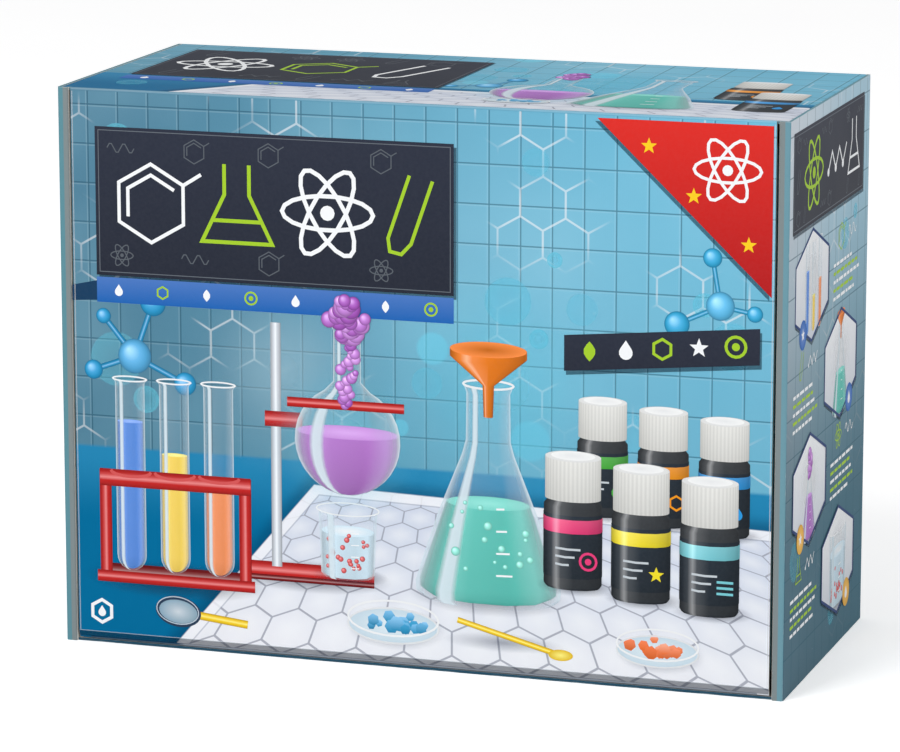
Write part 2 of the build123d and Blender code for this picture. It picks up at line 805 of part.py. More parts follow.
beaker_outline = [
    (0, 0),
    (beaker_foot - glass_wall, 0),
    (beaker_foot, glass_wall),
    (beaker_radius, beaker_height - glass_wall),
    (beaker_radius + glass_wall, beaker_height - glass_wall),
    (beaker_radius + glass_wall, beaker_height),
    (beaker_radius - glass_wall, beaker_height),
    (beaker_foot - glass_wall, glass_wall),
    (0, glass_wall),
]
keep(turned((beaker_x, beaker_y, floor_top), beaker_outline), "beaker")

dish_x = inner_half - dish_lid_radius - 2 * seat
dish_y = insert_front + dish_lid_radius + 2 * seat
dish_outline = [
    (0, 0),
    (dish_radius, 0),
    (dish_radius, dish_height),
    (dish_radius - dish_wall, dish_height),
    (dish_radius - dish_wall, dish_wall),
    (0, dish_wall),
]
dish_top = dish_height + seat + dish_wall
dish_lid_outline = [
    (0, dish_top),
    (dish_lid_radius, dish_top),
    (dish_lid_radius, 0.4 * dish_height),
    (dish_lid_radius - dish_wall, 0.4 * dish_height),
    (dish_lid_radius - dish_wall, dish_top - dish_wall),
    (0, dish_top - dish_wall),
]
keep(turned((dish_x, dish_y, middle_top), dish_outline), "petri_dish")
keep(turned((dish_x, dish_y, middle_top), dish_lid_outline), "petri_lid")

# ---- safety goggles ----
goggles_x = (-inner_half + upper_divider_x) / 2
goggles_y = insert_front + 3 * visor_wall
half_visor = visor_width / 2
visor_sag = visor_radius - (visor_radius**2 - half_visor**2) ** 0.5
visor_end = goggles_y + visor_sag
hinge_x = half_visor - knuckle_radius
hinge_y = {-1: visor_end + brow_depth, 1: visor_end + brow_depth + temple_spacing}
temple_low = upper_top + visor_height - brow_height - temple_height
temple_high = temple_low + temple_height


def visor_band(depth):
    """A band of the visor's plan, from its outer face inwards."""
    with Locations((goggles_x, goggles_y + visor_radius)):
        Circle(visor_radius)
        Circle(visor_radius - depth, mode=Mode.SUBTRACT)
    with Locations((goggles_x, goggles_y + visor_sag / 2)):
        Rectangle(visor_width, visor_sag, mode=Mode.INTERSECT)


with BuildPart() as goggles_visor:
    with BuildSketch(Plane.XY.offset(upper_top)):
        visor_band(visor_wall)
    extrude(amount=visor_height)
    with BuildSketch(Plane.XY.offset(upper_top + visor_height - brow_height)):
        visor_band(brow_depth)
    extrude(amount=brow_height)
    with Locations(Location((goggles_x, goggles_y, upper_top), (90, 0, 0))):
        Cylinder(nose_radius, 2 * visor_sag, mode=Mode.SUBTRACT)
    for side in (-1, 1):
        lug_x = goggles_x + side * hinge_x
        block(
            (lug_x - knuckle_radius, lug_x + knuckle_radius),
            (visor_end - brow_depth, hinge_y[side] + knuckle_radius),
            (upper_top + visor_height - brow_height, upper_top + visor_height),
        )
        with Locations((lug_x, hinge_y[side], temple_low)):
            Cylinder(pin_radius, temple_height + brow_height, align=(Align.CENTER, Align.CENTER, Align.MIN))
keep(goggles_visor.part, "goggles_visor")

for side, hand in ((-1, "left"), (1, "right")):
    with BuildPart() as temple:
        axis_x = goggles_x + side * hinge_x
        bend = hinge_y[side] + temple_straight
        tip = hinge_y[side] + temple_length
        with BuildSketch(Plane.YZ.offset(axis_x - temple_thickness / 2)):
            with BuildLine():
                Polyline(
                    (hinge_y[side], temple_low),
                    (bend, temple_low),
                    (tip, temple_low - temple_drop),
                    (tip, temple_low - temple_drop + temple_tip),
                    (bend, temple_high - seat),
                    (hinge_y[side], temple_high - seat),
                    close=True,
                )
            make_face()
        extrude(amount=temple_thickness)
        fillet(temple.edges().filter_by(Axis.X).group_by(Axis.Y)[-1], 0.45 * temple_tip)
        with Locations((axis_x, hinge_y[side], temple_low)):
            Cylinder(
                knuckle_radius, temple_height - seat, align=(Align.CENTER, Align.CENTER, Align.MIN)
            )
            Cylinder(pin_radius + pin_fit, 4 * temple_height, mode=Mode.SUBTRACT)
    keep(temple.part, f"goggles_{hand}_temple")

# ---- magnifier, pipette and spatula, lying on the upper shelf ----
tool_front = insert_front + 3 * insert_board
magnifier_x = upper_divider_x + insert_board + magnifier_radius + 4 * magnifier_rim
magnifier_y = tool_front + magnifier_radius
lens_radius = magnifier_radius - magnifier_rim
with BuildPart() as magnifier_frame:
    with Locations((magnifier_x, magnifier_y, upper_top + magnifier_height / 2)):
        Cylinder(magnifier_radius, magnifier_height)
    handle_start = magnifier_y + magnifier_radius - magnifier_rim / 2
    block(
        (magnifier_x - handle_width / 2, magnifier_x + handle_width / 2),
        (handle_start, handle_start + handle_length),
        (upper_top, upper_top + magnifier_height),
    )
    fillet(magnifier_frame.edges().filter_by(Axis.Z).group_by(Axis.Y)[-1], handle_width / 3)
    with Locations((magnifier_x, magnifier_y, upper_top + magnifier_height)):
        Cylinder(lens_radius, 2 * magnifier_height - 2 * seat, mode=Mode.SUBTRACT)
        Cylinder(lens_radius - magnifier_rim / 3, 4 * magnifier_height, mode=Mode.SUBTRACT)
keep(magnifier_frame.part, "magnifier_frame")

lens_outline = [(0, seat + lens_fit)]
lens_steps = 8
lens_rim = magnifier_height / 3
lens_bulge = magnifier_height / 4
lens_edge = lens_radius - lens_fit
lens_middle = seat + lens_fit + lens_bulge + lens_rim / 2
for step in range(1, lens_steps + 1):
    radius = lens_edge * step / lens_steps
    lens_outline.append((radius, lens_middle - lens_rim / 2 - lens_bulge * (1 - (radius / lens_edge) ** 2)))
for step in range(lens_steps, -1, -1):
    radius = lens_edge * step / lens_steps
    lens_outline.append((radius, lens_middle + lens_rim / 2 + lens_bulge * (1 - (radius / lens_edge) ** 2)))
keep(turned((magnifier_x, magnifier_y, upper_top), lens_outline), "magnifier_lens")

tool_pitch = (inner_half - magnifier_x - magnifier_radius) / 3
pipette_x = magnifier_x + magnifier_radius + tool_pitch
pipette_z = upper_top + pipette_bulb
bulb_length = pipette_length / 4
with BuildPart() as pipette:
    with BuildSketch(Plane(origin=(pipette_x, tool_front, pipette_z), x_dir=(0, 1, 0), z_dir=(1, 0, 0))):
        with BuildLine():
            Polyline(
                (0, 0),
                (0, pipette_bulb / 2),
                (pipette_bulb / 2, pipette_bulb),
                (bulb_length, pipette_bulb),
                (bulb_length + pipette_bulb, pipette_tube),
                (0.75 * pipette_length, pipette_tube),
                (pipette_length, pipette_tube / 3),
                (pipette_length, 0),
                close=True,
            )
        make_face()
    revolve(axis=Axis((pipette_x, tool_front, pipette_z), (0, 1, 0)))
keep(pipette.part, "pipette")

spatula_x = pipette_x + tool_pitch
with BuildPart() as spatula:
    with BuildSketch(Plane.XY.offset(upper_top)):
        with Locations((spatula_x, tool_front + spatula_length / 2)):
            SlotOverall(spatula_length, spatula_width, rotation=90)
    extrude(amount=spatula_thickness)
    with BuildSketch(Plane.XY.offset(upper_top)):
        with Locations((spatula_x, tool_front + spatula_length / 2)):
            Rectangle(spatula_width / 2, spatula_length / 2)
    extrude(amount=2 * spatula_thickness)
keep(spatula.part, "spatula")
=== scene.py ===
"""Looks of a chemistry set case: a printed board carton with a tuck-in lid, board shelves and a laboratory kit.

Metres in the model's own frame. Printed faces are drawn in millimetres from their lower left corner.
"""

import math
import random

import bmesh
import bpy
from mathutils import Matrix, Vector


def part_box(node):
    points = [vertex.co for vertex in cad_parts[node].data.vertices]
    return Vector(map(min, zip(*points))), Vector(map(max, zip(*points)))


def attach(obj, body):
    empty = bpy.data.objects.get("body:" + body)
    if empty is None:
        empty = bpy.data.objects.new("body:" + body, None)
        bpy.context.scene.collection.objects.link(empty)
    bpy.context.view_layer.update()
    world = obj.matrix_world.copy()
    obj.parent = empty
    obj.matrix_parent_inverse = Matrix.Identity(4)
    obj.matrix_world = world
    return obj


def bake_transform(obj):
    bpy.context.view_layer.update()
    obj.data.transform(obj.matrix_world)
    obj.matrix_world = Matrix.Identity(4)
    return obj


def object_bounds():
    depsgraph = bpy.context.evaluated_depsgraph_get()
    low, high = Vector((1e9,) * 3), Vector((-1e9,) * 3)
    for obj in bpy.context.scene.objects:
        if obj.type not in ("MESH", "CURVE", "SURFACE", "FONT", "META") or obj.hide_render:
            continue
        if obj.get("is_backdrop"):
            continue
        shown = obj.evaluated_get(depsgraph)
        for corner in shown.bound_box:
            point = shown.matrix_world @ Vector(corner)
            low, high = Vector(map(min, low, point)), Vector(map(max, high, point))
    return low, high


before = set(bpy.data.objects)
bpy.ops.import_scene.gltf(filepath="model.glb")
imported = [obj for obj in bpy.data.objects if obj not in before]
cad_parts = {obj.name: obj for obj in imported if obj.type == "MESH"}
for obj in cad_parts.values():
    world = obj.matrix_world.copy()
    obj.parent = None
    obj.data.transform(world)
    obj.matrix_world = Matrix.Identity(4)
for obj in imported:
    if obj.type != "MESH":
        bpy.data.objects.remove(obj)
cad_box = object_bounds()

MM = 0.001
case_low, case_high = (Vector(corner) for corner in cad_box)
WIDTH, DEPTH, HEIGHT = (case_high - case_low) / MM
BOARD = 1.5  # thickness of the printed board
PRINT_GLOSS = 0.04  # specular level of the satin varnish
CREASE = 1.2  # outside radius of a fold
FOOT_LEVEL = 5.8  # height of the crease from which the lid's foot turns in
FOOT_BAND = 4.0
FOOT_TURN = 1.0
FLAP_LEAN = math.radians(7.5)
LIFT = 0.006  # step from one layer of ink to the next
ROUND_LIFT = 0.05  # the same, round a bottle

# ---- the honeycomb mat on the printed bench: its left side, from the lower left corner of a face ----
MAT_START = 58.0
MAT_SLOPE = 0.85

# ---- the photograph's view ----
VIEW_AZIMUTH = math.radians(17.95)
VIEW_ELEVATION = math.radians(11.85)
VIEW_DISTANCE = 2.386
VIEW_AIM = Vector((-0.0095, 0.0, 0.1338))
VIEW_LENS = 185.0


def tint(red, green, blue, alpha=1.0):
    """A colour from its screen values of 0 to 255."""

    def straight(value):
        value /= 255
        return value / 12.92 if value <= 0.04045 else ((value + 0.055) / 1.055) ** 2.4

    return (straight(red), straight(green), straight(blue), alpha)


def mixed(one, two, share):
    """Part of the way from one colour to another."""
    return tuple(a + (b - a) * share for a, b in zip(one, two))


def lit(colour, factor):
    """A colour in shade (under 1) or in light (over 1)."""
    shaded = [min(1, c * factor) for c in colour[:3]]
    return (*mixed(shaded, (1, 1, 1), min(1, max(0, factor - 1) * 0.5)), colour[3])


def faded(colour, alpha):
    return (*colour[:3], alpha)


WALL_DARK = tint(80, 126, 150)
WALL_LIGHT = tint(104, 182, 212)
WALL_PALE = tint(206, 212, 220)
BENCH = tint(0, 106, 152)
MAT = tint(232, 234, 240)
STRIP_LEFT = tint(88, 138, 150)
STRIP_RIGHT = tint(104, 148, 162)
# the bottom wall's front edge, tucked under the lid's foot: its teal ink is painted dark as painted shade under the
# fold
STRIP_FOOT_SHADED = tint(26, 72, 94)
ROLL_GREY = tint(128, 138, 140)  # the inner part of a rolled wall's front edge: bare board past the ink, painted much darker than the liner as painted shade in the slit beside the lid
ROLL_INK = 3.0  # how far the ink reaches over that edge
SLATE = tint(44, 49, 64)
CHALK = tint(150, 160, 172)
SIGN_BLUE = tint(26, 98, 178)
RED = tint(196, 34, 32)
DEEP_RED = tint(120, 14, 18)
LIME = tint(164, 204, 44)
WHITE = tint(244, 246, 248)
TEAL_LIQUID = tint(40, 186, 170)
VIOLET = tint(172, 88, 194)
ORANGE = tint(240, 128, 28)
YELLOW = tint(250, 206, 30)
BLUE_LIQUID = tint(34, 120, 214)
CYAN_GLOW = tint(120, 226, 250)
GLASS = tint(226, 242, 250)
CAP_WHITE = tint(236, 236, 232)
BOTTLE_DARK = tint(30, 36, 42)


# ---- node helpers ----
def feed(tree, socket, value):
    """Puts a value or a link into a socket."""
    if isinstance(value, bpy.types.NodeSocket):
        tree.links.new(value, socket)
    elif value is not None:
        socket.default_value = value


def node(tree, kind, *values, out=0, **settings):
    """Adds a node, fills its inputs in order and gives one of its outputs."""
    made = tree.nodes.new(kind)
    for name, value in settings.items():
        setattr(made, name, value)
    for socket, value in zip(made.inputs, values):
        feed(tree, socket, value)
    return made.outputs[out]


def maths(tree, operation, *values):
    return node(tree, "ShaderNodeMath", *values, operation=operation)


def vectors(tree, operation, *values):
    out = 1 if operation in ("LENGTH", "DOT_PRODUCT", "DISTANCE") else 0
    return node(tree, "ShaderNodeVectorMath", *values, operation=operation, out=out)


def scaled(tree, vector, factor):
    """A vector times a number."""
    made = tree.nodes.new("ShaderNodeVectorMath")
    made.operation = "SCALE"
    feed(tree, made.inputs["Vector"], vector)
    made.inputs["Scale"].default_value = factor
    return made.outputs[0]


def mix(tree, share, one, two, blend="MIX"):
    """Mixes two colours."""
    made = tree.nodes.new("ShaderNodeMix")
    made.data_type = "RGBA"
    made.blend_type = blend
    for name, value in (("Factor_Float", share), ("A_Color", one), ("B_Color", two)):
        socket = next(s for s in made.inputs if s.identifier == name)
        feed(tree, socket, value)
    return next(s for s in made.outputs if s.identifier == "Result_Color")


def ramp(tree, value, low, high):
    """0 below low and 1 above high, smoothly."""
    made = tree.nodes.new("ShaderNodeMapRange")
    made.interpolation_type = "SMOOTHSTEP"
    for socket, entry in zip(made.inputs, (value, low, high, 0.0, 1.0)):
        feed(tree, socket, entry)
    return made.outputs[0]


def noise(tree, place, scale, detail=3.0, out=0):
    made = tree.nodes.new("ShaderNodeTexNoise")
    feed(tree, made.inputs["Vector"], place)
    feed(tree, made.inputs["Scale"], scale)
    made.inputs["Detail"].default_value = detail
    return made.outputs[out]


def parts_of(tree, vector):
    made = tree.nodes.new("ShaderNodeSeparateXYZ")
    feed(tree, made.inputs[0], vector)
    return made.outputs


def joined(tree, x, y, z=0.0):
    return node(tree, "ShaderNodeCombineXYZ", x, y, z)


KINDS = {"value": "NodeSocketFloat", "colour": "NodeSocketColor", "vector": "NodeSocketVector"}


def shared(name, takes, gives, build):
    """Makes a shader node group. build(tree, inputs) returns a socket for each output."""
    tree = bpy.data.node_groups.new(name, "ShaderNodeTree")
    for label, kind in takes:
        tree.interface.new_socket(label, in_out="INPUT", socket_type=KINDS[kind])
    for label, kind in gives:
        tree.interface.new_socket(label, in_out="OUTPUT", socket_type=KINDS[kind])
    entry = tree.nodes.new("NodeGroupInput")
    end = tree.nodes.new("NodeGroupOutput")
    for socket, value in zip(end.inputs, build(tree, entry.outputs)):
        feed(tree, socket, value)
    return tree


def use(tree, group, *values):
    """Places a node group and gives its outputs."""
    made = tree.nodes.new("ShaderNodeGroup")
    made.node_tree = group
    for socket, value in zip(made.inputs, values):
        feed(tree, socket, value)
    return made.outputs


# ---- shared effects ----
def build_grid(tree, takes):
    """Tiled wall: thin dark joints with a light line beside each."""
    place, cell_wide, cell_high = takes[0], takes[1], takes[2]
    across = parts_of(tree, place)
    dark, light = 0.0, 0.0
    for value, cell in ((across[0], cell_wide), (across[1], cell_high)):
        to_joint = maths(tree, "PINGPONG", value, maths(tree, "MULTIPLY", cell, 0.5))
        beside = maths(tree, "PINGPONG", maths(tree, "ADD", value, 0.9), maths(tree, "MULTIPLY", cell, 0.5))
        dark = maths(tree, "MAXIMUM", dark, maths(tree, "SUBTRACT", 1.0, ramp(tree, to_joint, 0.15, 0.5)))
        light = maths(tree, "MAXIMUM", light, maths(tree, "SUBTRACT", 1.0, ramp(tree, beside, 0.1, 0.45)))
    return dark, light


wall_grid = shared(
    "wall_grid",
    [("Place", "vector"), ("Cell Wide", "value"), ("Cell High", "value")],
    [("Joint", "value"), ("Light", "value")],
    build_grid,
)


def build_hexagons(tree, takes):
    """Distance into a honeycomb of cells one wide, as a line and as a cell shade."""
    half = (0.5, math.sqrt(3) / 2, 0.0)
    other = tuple(-h for h in half)
    first = node(tree, "ShaderNodeVectorMath", takes[0], half, other, operation="WRAP")
    moved = vectors(tree, "SUBTRACT", takes[0], half)
    second = node(tree, "ShaderNodeVectorMath", moved, half, other, operation="WRAP")
    nearer = maths(tree, "LESS_THAN", vectors(tree, "LENGTH", first), vectors(tree, "LENGTH", second))
    cell = mix(tree, nearer, second, first)
    size = vectors(tree, "ABSOLUTE", cell)
    slanted = vectors(tree, "DOT_PRODUCT", size, half)
    edge = maths(tree, "SUBTRACT", 0.5, maths(tree, "MAXIMUM", slanted, parts_of(tree, size)[0]))
    line = maths(tree, "SUBTRACT", 1.0, ramp(tree, edge, maths(tree, "MULTIPLY", takes[1], 0.5), takes[1]))
    return line, ramp(tree, edge, 0.0, 0.5)


hex_cells = shared(
    "hex_cells",
    [("Place", "vector"), ("Line", "value")],
    [("Line", "value"), ("Middle", "value")],
    build_hexagons,
)


def build_spots(tree, takes):
    """Soft round spots of light of many sizes."""
    cells = tree.nodes.new("ShaderNodeTexVoronoi")
    feed(tree, cells.inputs["Vector"], takes[0])
    feed(tree, cells.inputs["Scale"], takes[1])
    kind = parts_of(tree, cells.outputs["Color"])
    radius = maths(tree, "MULTIPLY_ADD", kind[0], 0.26, 0.04)
    inner = maths(tree, "MULTIPLY", radius, 0.82)
    disc = maths(tree, "SUBTRACT", 1.0, ramp(tree, cells.outputs["Distance"], inner, radius))
    strong = ramp(tree, kind[1], 0.45, 1.0)
    return (maths(tree, "MULTIPLY", disc, strong),)


light_spots = shared(
    "light_spots", [("Place", "vector"), ("Scale", "value")], [("Spots", "value")], build_spots
)


def build_fibre(tree, takes):
    """Paper fibre: a fine mottle and short threads."""
    fine = noise(tree, takes[0], 900.0, 4.0)
    stretched = vectors(tree, "MULTIPLY", takes[0], (1.0, 0.22, 0.3))
    threads = noise(tree, stretched, 2600.0, 2.0)
    cloud = noise(tree, takes[0], 60.0, 2.0)
    shade = maths(tree, "ADD", maths(tree, "MULTIPLY", fine, 0.5), maths(tree, "MULTIPLY", cloud, 0.5))
    return shade, maths(tree, "ADD", maths(tree, "MULTIPLY", threads, 0.6), fine)


paper_fibre = shared(
    "paper_fibre", [("Place", "vector")], [("Shade", "value"), ("Relief", "value")], build_fibre
)


def build_flutes(tree, takes):
    """The waved middle sheet of fluted board, seen in its cut edge."""
    along, across = takes[0], takes[1]
    wave = maths(tree, "SINE", maths(tree, "MULTIPLY", along, 2 * math.pi / 3.3))
    middle = maths(tree, "MULTIPLY_ADD", wave, 0.3 * BOARD, 0.5 * BOARD)
    away = maths(tree, "ABSOLUTE", maths(tree, "SUBTRACT", across, middle))
    wall = maths(tree, "SUBTRACT", 1.0, ramp(tree, away, 0.09, 0.2))
    rim = maths(tree, "ABSOLUTE", maths(tree, "SUBTRACT", across, 0.5 * BOARD))
    facing = ramp(tree, rim, 0.36 * BOARD, 0.42 * BOARD)
    return (maths(tree, "MAXIMUM", wall, facing),)


fluted_edge = shared(
    "fluted_edge", [("Along", "value"), ("Across", "value")], [("Paper", "value")], build_flutes
)


def build_wear(tree, takes):
    """Rubbed ink along a fold, from the distance to the fold in millimetres."""
    patchy = noise(tree, takes[1], 220.0, 5.0)
    reach = maths(tree, "MULTIPLY_ADD", patchy, 1.5, -0.35)
    rubbed = maths(tree, "SUBTRACT", 1.0, ramp(tree, takes[0], maths(tree, "MULTIPLY", reach, 0.3), reach))
    scarce = ramp(tree, noise(tree, takes[1], 45.0, 2.0), 0.42, 0.62)
    return (maths(tree, "MULTIPLY", rubbed, scarce),)


fold_wear = shared("fold_wear", [("Distance", "value"), ("Place", "vector")], [("Worn", "value")], build_wear)


def build_mould(tree, takes):
    """The faint waviness and dust of a moulded surface."""
    ripple = noise(tree, takes[0], takes[1], 2.0)
    fine = noise(tree, takes[0], maths(tree, "MULTIPLY", takes[1], 14.0), 3.0)
    specks = ramp(tree, fine, 0.62, 0.8)
    return ripple, specks


moulded = shared(
    "moulded", [("Place", "vector"), ("Scale", "value")], [("Ripple", "value"), ("Specks", "value")], build_mould
)


def build_ground(tree, takes):
    """The printed ground of a face: tiled laboratory wall, and a bench with a honeycomb mat where it has one."""
    place, size, left, right, darkening, bench = takes[:6]
    at, full = parts_of(tree, place), parts_of(tree, size)
    along = maths(tree, "DIVIDE", at[0], full[0])
    up = maths(tree, "DIVIDE", at[1], full[1])
    wall = mix(tree, ramp(tree, along, 0.0, 1.0), left, right)
    glow_centre = vectors(tree, "MULTIPLY", size, (0.66, 0.62, 0.0))
    glow = maths(tree, "SUBTRACT", 1.0, ramp(tree, vectors(tree, "DISTANCE", place, glow_centre), 20.0, 170.0))
    wall = mix(tree, maths(tree, "MULTIPLY", glow, 0.34), wall, tint(158, 218, 240))
    metre = scaled(tree, place, MM)
    clouds = ramp(tree, noise(tree, metre, 9.0, 2.0), 0.35, 0.75)
    wall = mix(tree, maths(tree, "MULTIPLY", clouds, 0.2), wall, tint(178, 226, 242))
    joints = use(tree, wall_grid, place, 16.3, 20.0)
    wall = mix(tree, maths(tree, "MULTIPLY", joints[1], 0.12), wall, tint(214, 238, 246))
    wall = mix(tree, maths(tree, "MULTIPLY", joints[0], 0.6), wall, tint(36, 78, 98))
    lattice = use(tree, hex_cells, vectors(tree, "MULTIPLY", place, (0.043, 0.043, 0.0)), 0.03)
    drawn = ramp(tree, noise(tree, metre, 14.0, 1.0), 0.5, 0.62)
    wall = mix(tree, maths(tree, "MULTIPLY", maths(tree, "MULTIPLY", lattice[0], drawn), 0.5), wall, WHITE)
    spots = use(tree, light_spots, metre, 24.0)
    wall = mix(tree, maths(tree, "MULTIPLY", spots[0], 0.42), wall, CYAN_GLOW)
    shade = maths(tree, "MULTIPLY", maths(tree, "SUBTRACT", 1.0, ramp(tree, up, 0.2, 1.0)), darkening)
    wall = mix(tree, shade, wall, tint(6, 84, 104))

    below = maths(tree, "SUBTRACT", bench, at[1])
    bench_glow = maths(tree, "SUBTRACT", 1.0, ramp(tree, below, 0.0, 40.0))
    table = mix(tree, maths(tree, "MULTIPLY", bench_glow, 0.42), BENCH, tint(58, 158, 204))
    mat_top = maths(tree, "MULTIPLY", bench, maths(tree, "MULTIPLY_ADD", along, -0.1, 0.92))
    mat_side = maths(tree, "MULTIPLY_ADD", at[1], MAT_SLOPE, MAT_START)
    into_top = maths(tree, "SUBTRACT", mat_top, at[1])
    into_side = maths(tree, "MULTIPLY", maths(tree, "SUBTRACT", at[0], mat_side), 0.72)
    into_mat = maths(tree, "MINIMUM", into_top, into_side)
    table = mix(tree, maths(tree, "MULTIPLY", ramp(tree, into_mat, -9.0, 0.0), 0.45), table, tint(0, 40, 74))
    colour = mix(tree, ramp(tree, below, -1.2, 1.2), wall, table)
    near = maths(tree, "DIVIDE", 1.0, maths(tree, "SUBTRACT", 2.1, maths(tree, "DIVIDE", at[1], bench)))
    sideways = maths(tree, "MULTIPLY", maths(tree, "SUBTRACT", along, 0.55), 30.0)
    tile_place = joined(tree, maths(tree, "MULTIPLY", sideways, near), maths(tree, "MULTIPLY", near, 18.6))
    tiles = use(tree, hex_cells, tile_place, 0.03)
    mat = mix(tree, ramp(tree, into_top, 0.0, 90.0), tint(204, 212, 228), MAT)
    mat = mix(tree, maths(tree, "MULTIPLY", tiles[1], 0.4), mat, WHITE)
    mat = mix(tree, maths(tree, "MULTIPLY", tiles[0], 0.8), mat, tint(146, 150, 164))
    border = maths(tree, "SUBTRACT", 1.0, ramp(tree, maths(tree, "ABSOLUTE", maths(tree, "SUBTRACT", into_mat, 5.0)), 0.2, 0.5))
    hem = maths(tree, "SUBTRACT", 1.0, ramp(tree, into_mat, 4.6, 5.0))
    mat = mix(tree, maths(tree, "MULTIPLY", hem, 0.8), mat, tint(238, 240, 245))
    mat = mix(tree, maths(tree, "MULTIPLY", border, 0.5), mat, tint(150, 158, 176))
    on_mat = ramp(tree, into_mat, -0.4, 0.4)
    return (mix(tree, on_mat, colour, mat),)


printed_ground = shared(
    "printed_ground",
    [("Place", "vector"), ("Size", "vector"), ("Left", "colour"), ("Right", "colour"),
     ("Darkening", "value"), ("Bench", "value")],
    [("Colour", "colour")],
    build_ground,
)


# ---- materials ----
def blank(name):
    """A new material with a Principled shader: gives the material, its nodes and the shader."""
    made = bpy.data.materials.new(name)
    made.use_nodes = True
    tree = made.node_tree
    return made, tree, next(n for n in tree.nodes if n.type == "BSDF_PRINCIPLED")


def relief(tree, shader, height, distance, strength=1.0):
    """Feeds a bump of a real depth, in metres, to a shader."""
    bump = tree.nodes.new("ShaderNodeBump")
    bump.inputs["Strength"].default_value = strength
    bump.inputs["Distance"].default_value = distance
    feed(tree, bump.inputs["Height"], height)
    feed(tree, shader.inputs["Normal"], bump.outputs[0])


def seat(name, material):
    """Puts a material on a CAD node."""
    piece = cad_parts[name]
    if not piece.data.materials:
        piece.data.materials.append(material)
    for slot in piece.material_slots:
        slot.material = material


# the six outer faces: outward direction, drawing's right and up, width and height, ground and bench
BENCH_TOP = 104.0
FACES = {
    "front": ((0, -1, 0), (1, 0, 0), (0, 0, 1), WIDTH, HEIGHT, WALL_DARK, WALL_LIGHT, 0.22, BENCH_TOP),
    "back": ((0, 1, 0), (-1, 0, 0), (0, 0, 1), WIDTH, HEIGHT, WALL_DARK, WALL_LIGHT, 0.40, -50.0),
    "right": ((1, 0, 0), (0, 1, 0), (0, 0, 1), DEPTH, HEIGHT, WALL_PALE, tint(168, 196, 212), 0.9, -50.0),
    "left": ((-1, 0, 0), (0, -1, 0), (0, 0, 1), DEPTH, HEIGHT, tint(168, 196, 212), WALL_PALE, 0.9, -50.0),
    "top": ((0, 0, 1), (1, 0, 0), (0, 1, 0), WIDTH, DEPTH, tint(96, 158, 184), WALL_LIGHT, 0.12, 56.0),
    "bottom": ((0, 0, -1), (1, 0, 0), (0, -1, 0), WIDTH, DEPTH, WALL_DARK, WALL_DARK, 0.35, -50.0),
}


def face_origin(face):
    """The lower left corner of an outer face."""
    out, right, up = (Vector(v) for v in FACES[face][:3])
    return Vector(high if o > 0 or min(r, u) < 0 else low for low, high, o, r, u in
                  zip(case_low, case_high, out, right, up))


def cut_share(tree, place, facing, thick, level, face_tone):
    """For a mix: where a board shows its cut edge, its face's colour and the colour of the flutes in the edge.

    level is where its outer face lies along its thickness.
    """
    axis = tuple(abs(t) for t in thick)
    off = maths(tree, "ABSOLUTE", vectors(tree, "DOT_PRODUCT", facing, axis))
    depth = maths(tree, "SUBTRACT", vectors(tree, "DOT_PRODUCT", place, axis), level)
    depth = maths(tree, "ABSOLUTE", maths(tree, "DIVIDE", depth, MM))
    along = maths(tree, "DIVIDE", vectors(tree, "DOT_PRODUCT", place, tuple(1 - a for a in axis)), MM)
    paper = use(tree, fluted_edge, along, depth)
    # the gaps between the flutes take the dark tone: painted shade in the hollows of the cut edge
    flutes = mix(tree, paper[0], tint(100, 97, 90), tint(184, 180, 170))
    return maths(tree, "LESS_THAN", off, 0.3), face_tone, flutes


def board_finish(tree, shader, place, fibre, colour, printed):
    """Gloss and relief of coated board: varnish where it is printed, dull liner elsewhere."""
    feed(tree, shader.inputs["Base Color"], colour)
    rough = maths(tree, "MULTIPLY_ADD", printed, -0.4, 0.84)
    feed(tree, shader.inputs["Roughness"], maths(tree, "MULTIPLY_ADD", noise(tree, place, 35.0), 0.08, rough))
    shader.inputs["Specular IOR Level"].default_value = PRINT_GLOSS
    waves = node(tree, "ShaderNodeTexWave", place, 300.0, bands_direction="X")
    lump = maths(tree, "MULTIPLY_ADD", noise(tree, place, 18.0, 2.0), 0.8, maths(tree, "MULTIPLY", waves, 0.2))
    rough_relief = maths(tree, "MULTIPLY", fibre[1], maths(tree, "MULTIPLY_ADD", printed, -0.7, 0.9))
    relief(tree, shader, maths(tree, "ADD", lump, rough_relief), 0.00004)


def liner_colour(tree, fibre):
    return mix(tree, ramp(tree, fibre[0], 0.3, 0.7), tint(219, 217, 211), tint(226, 224, 218))


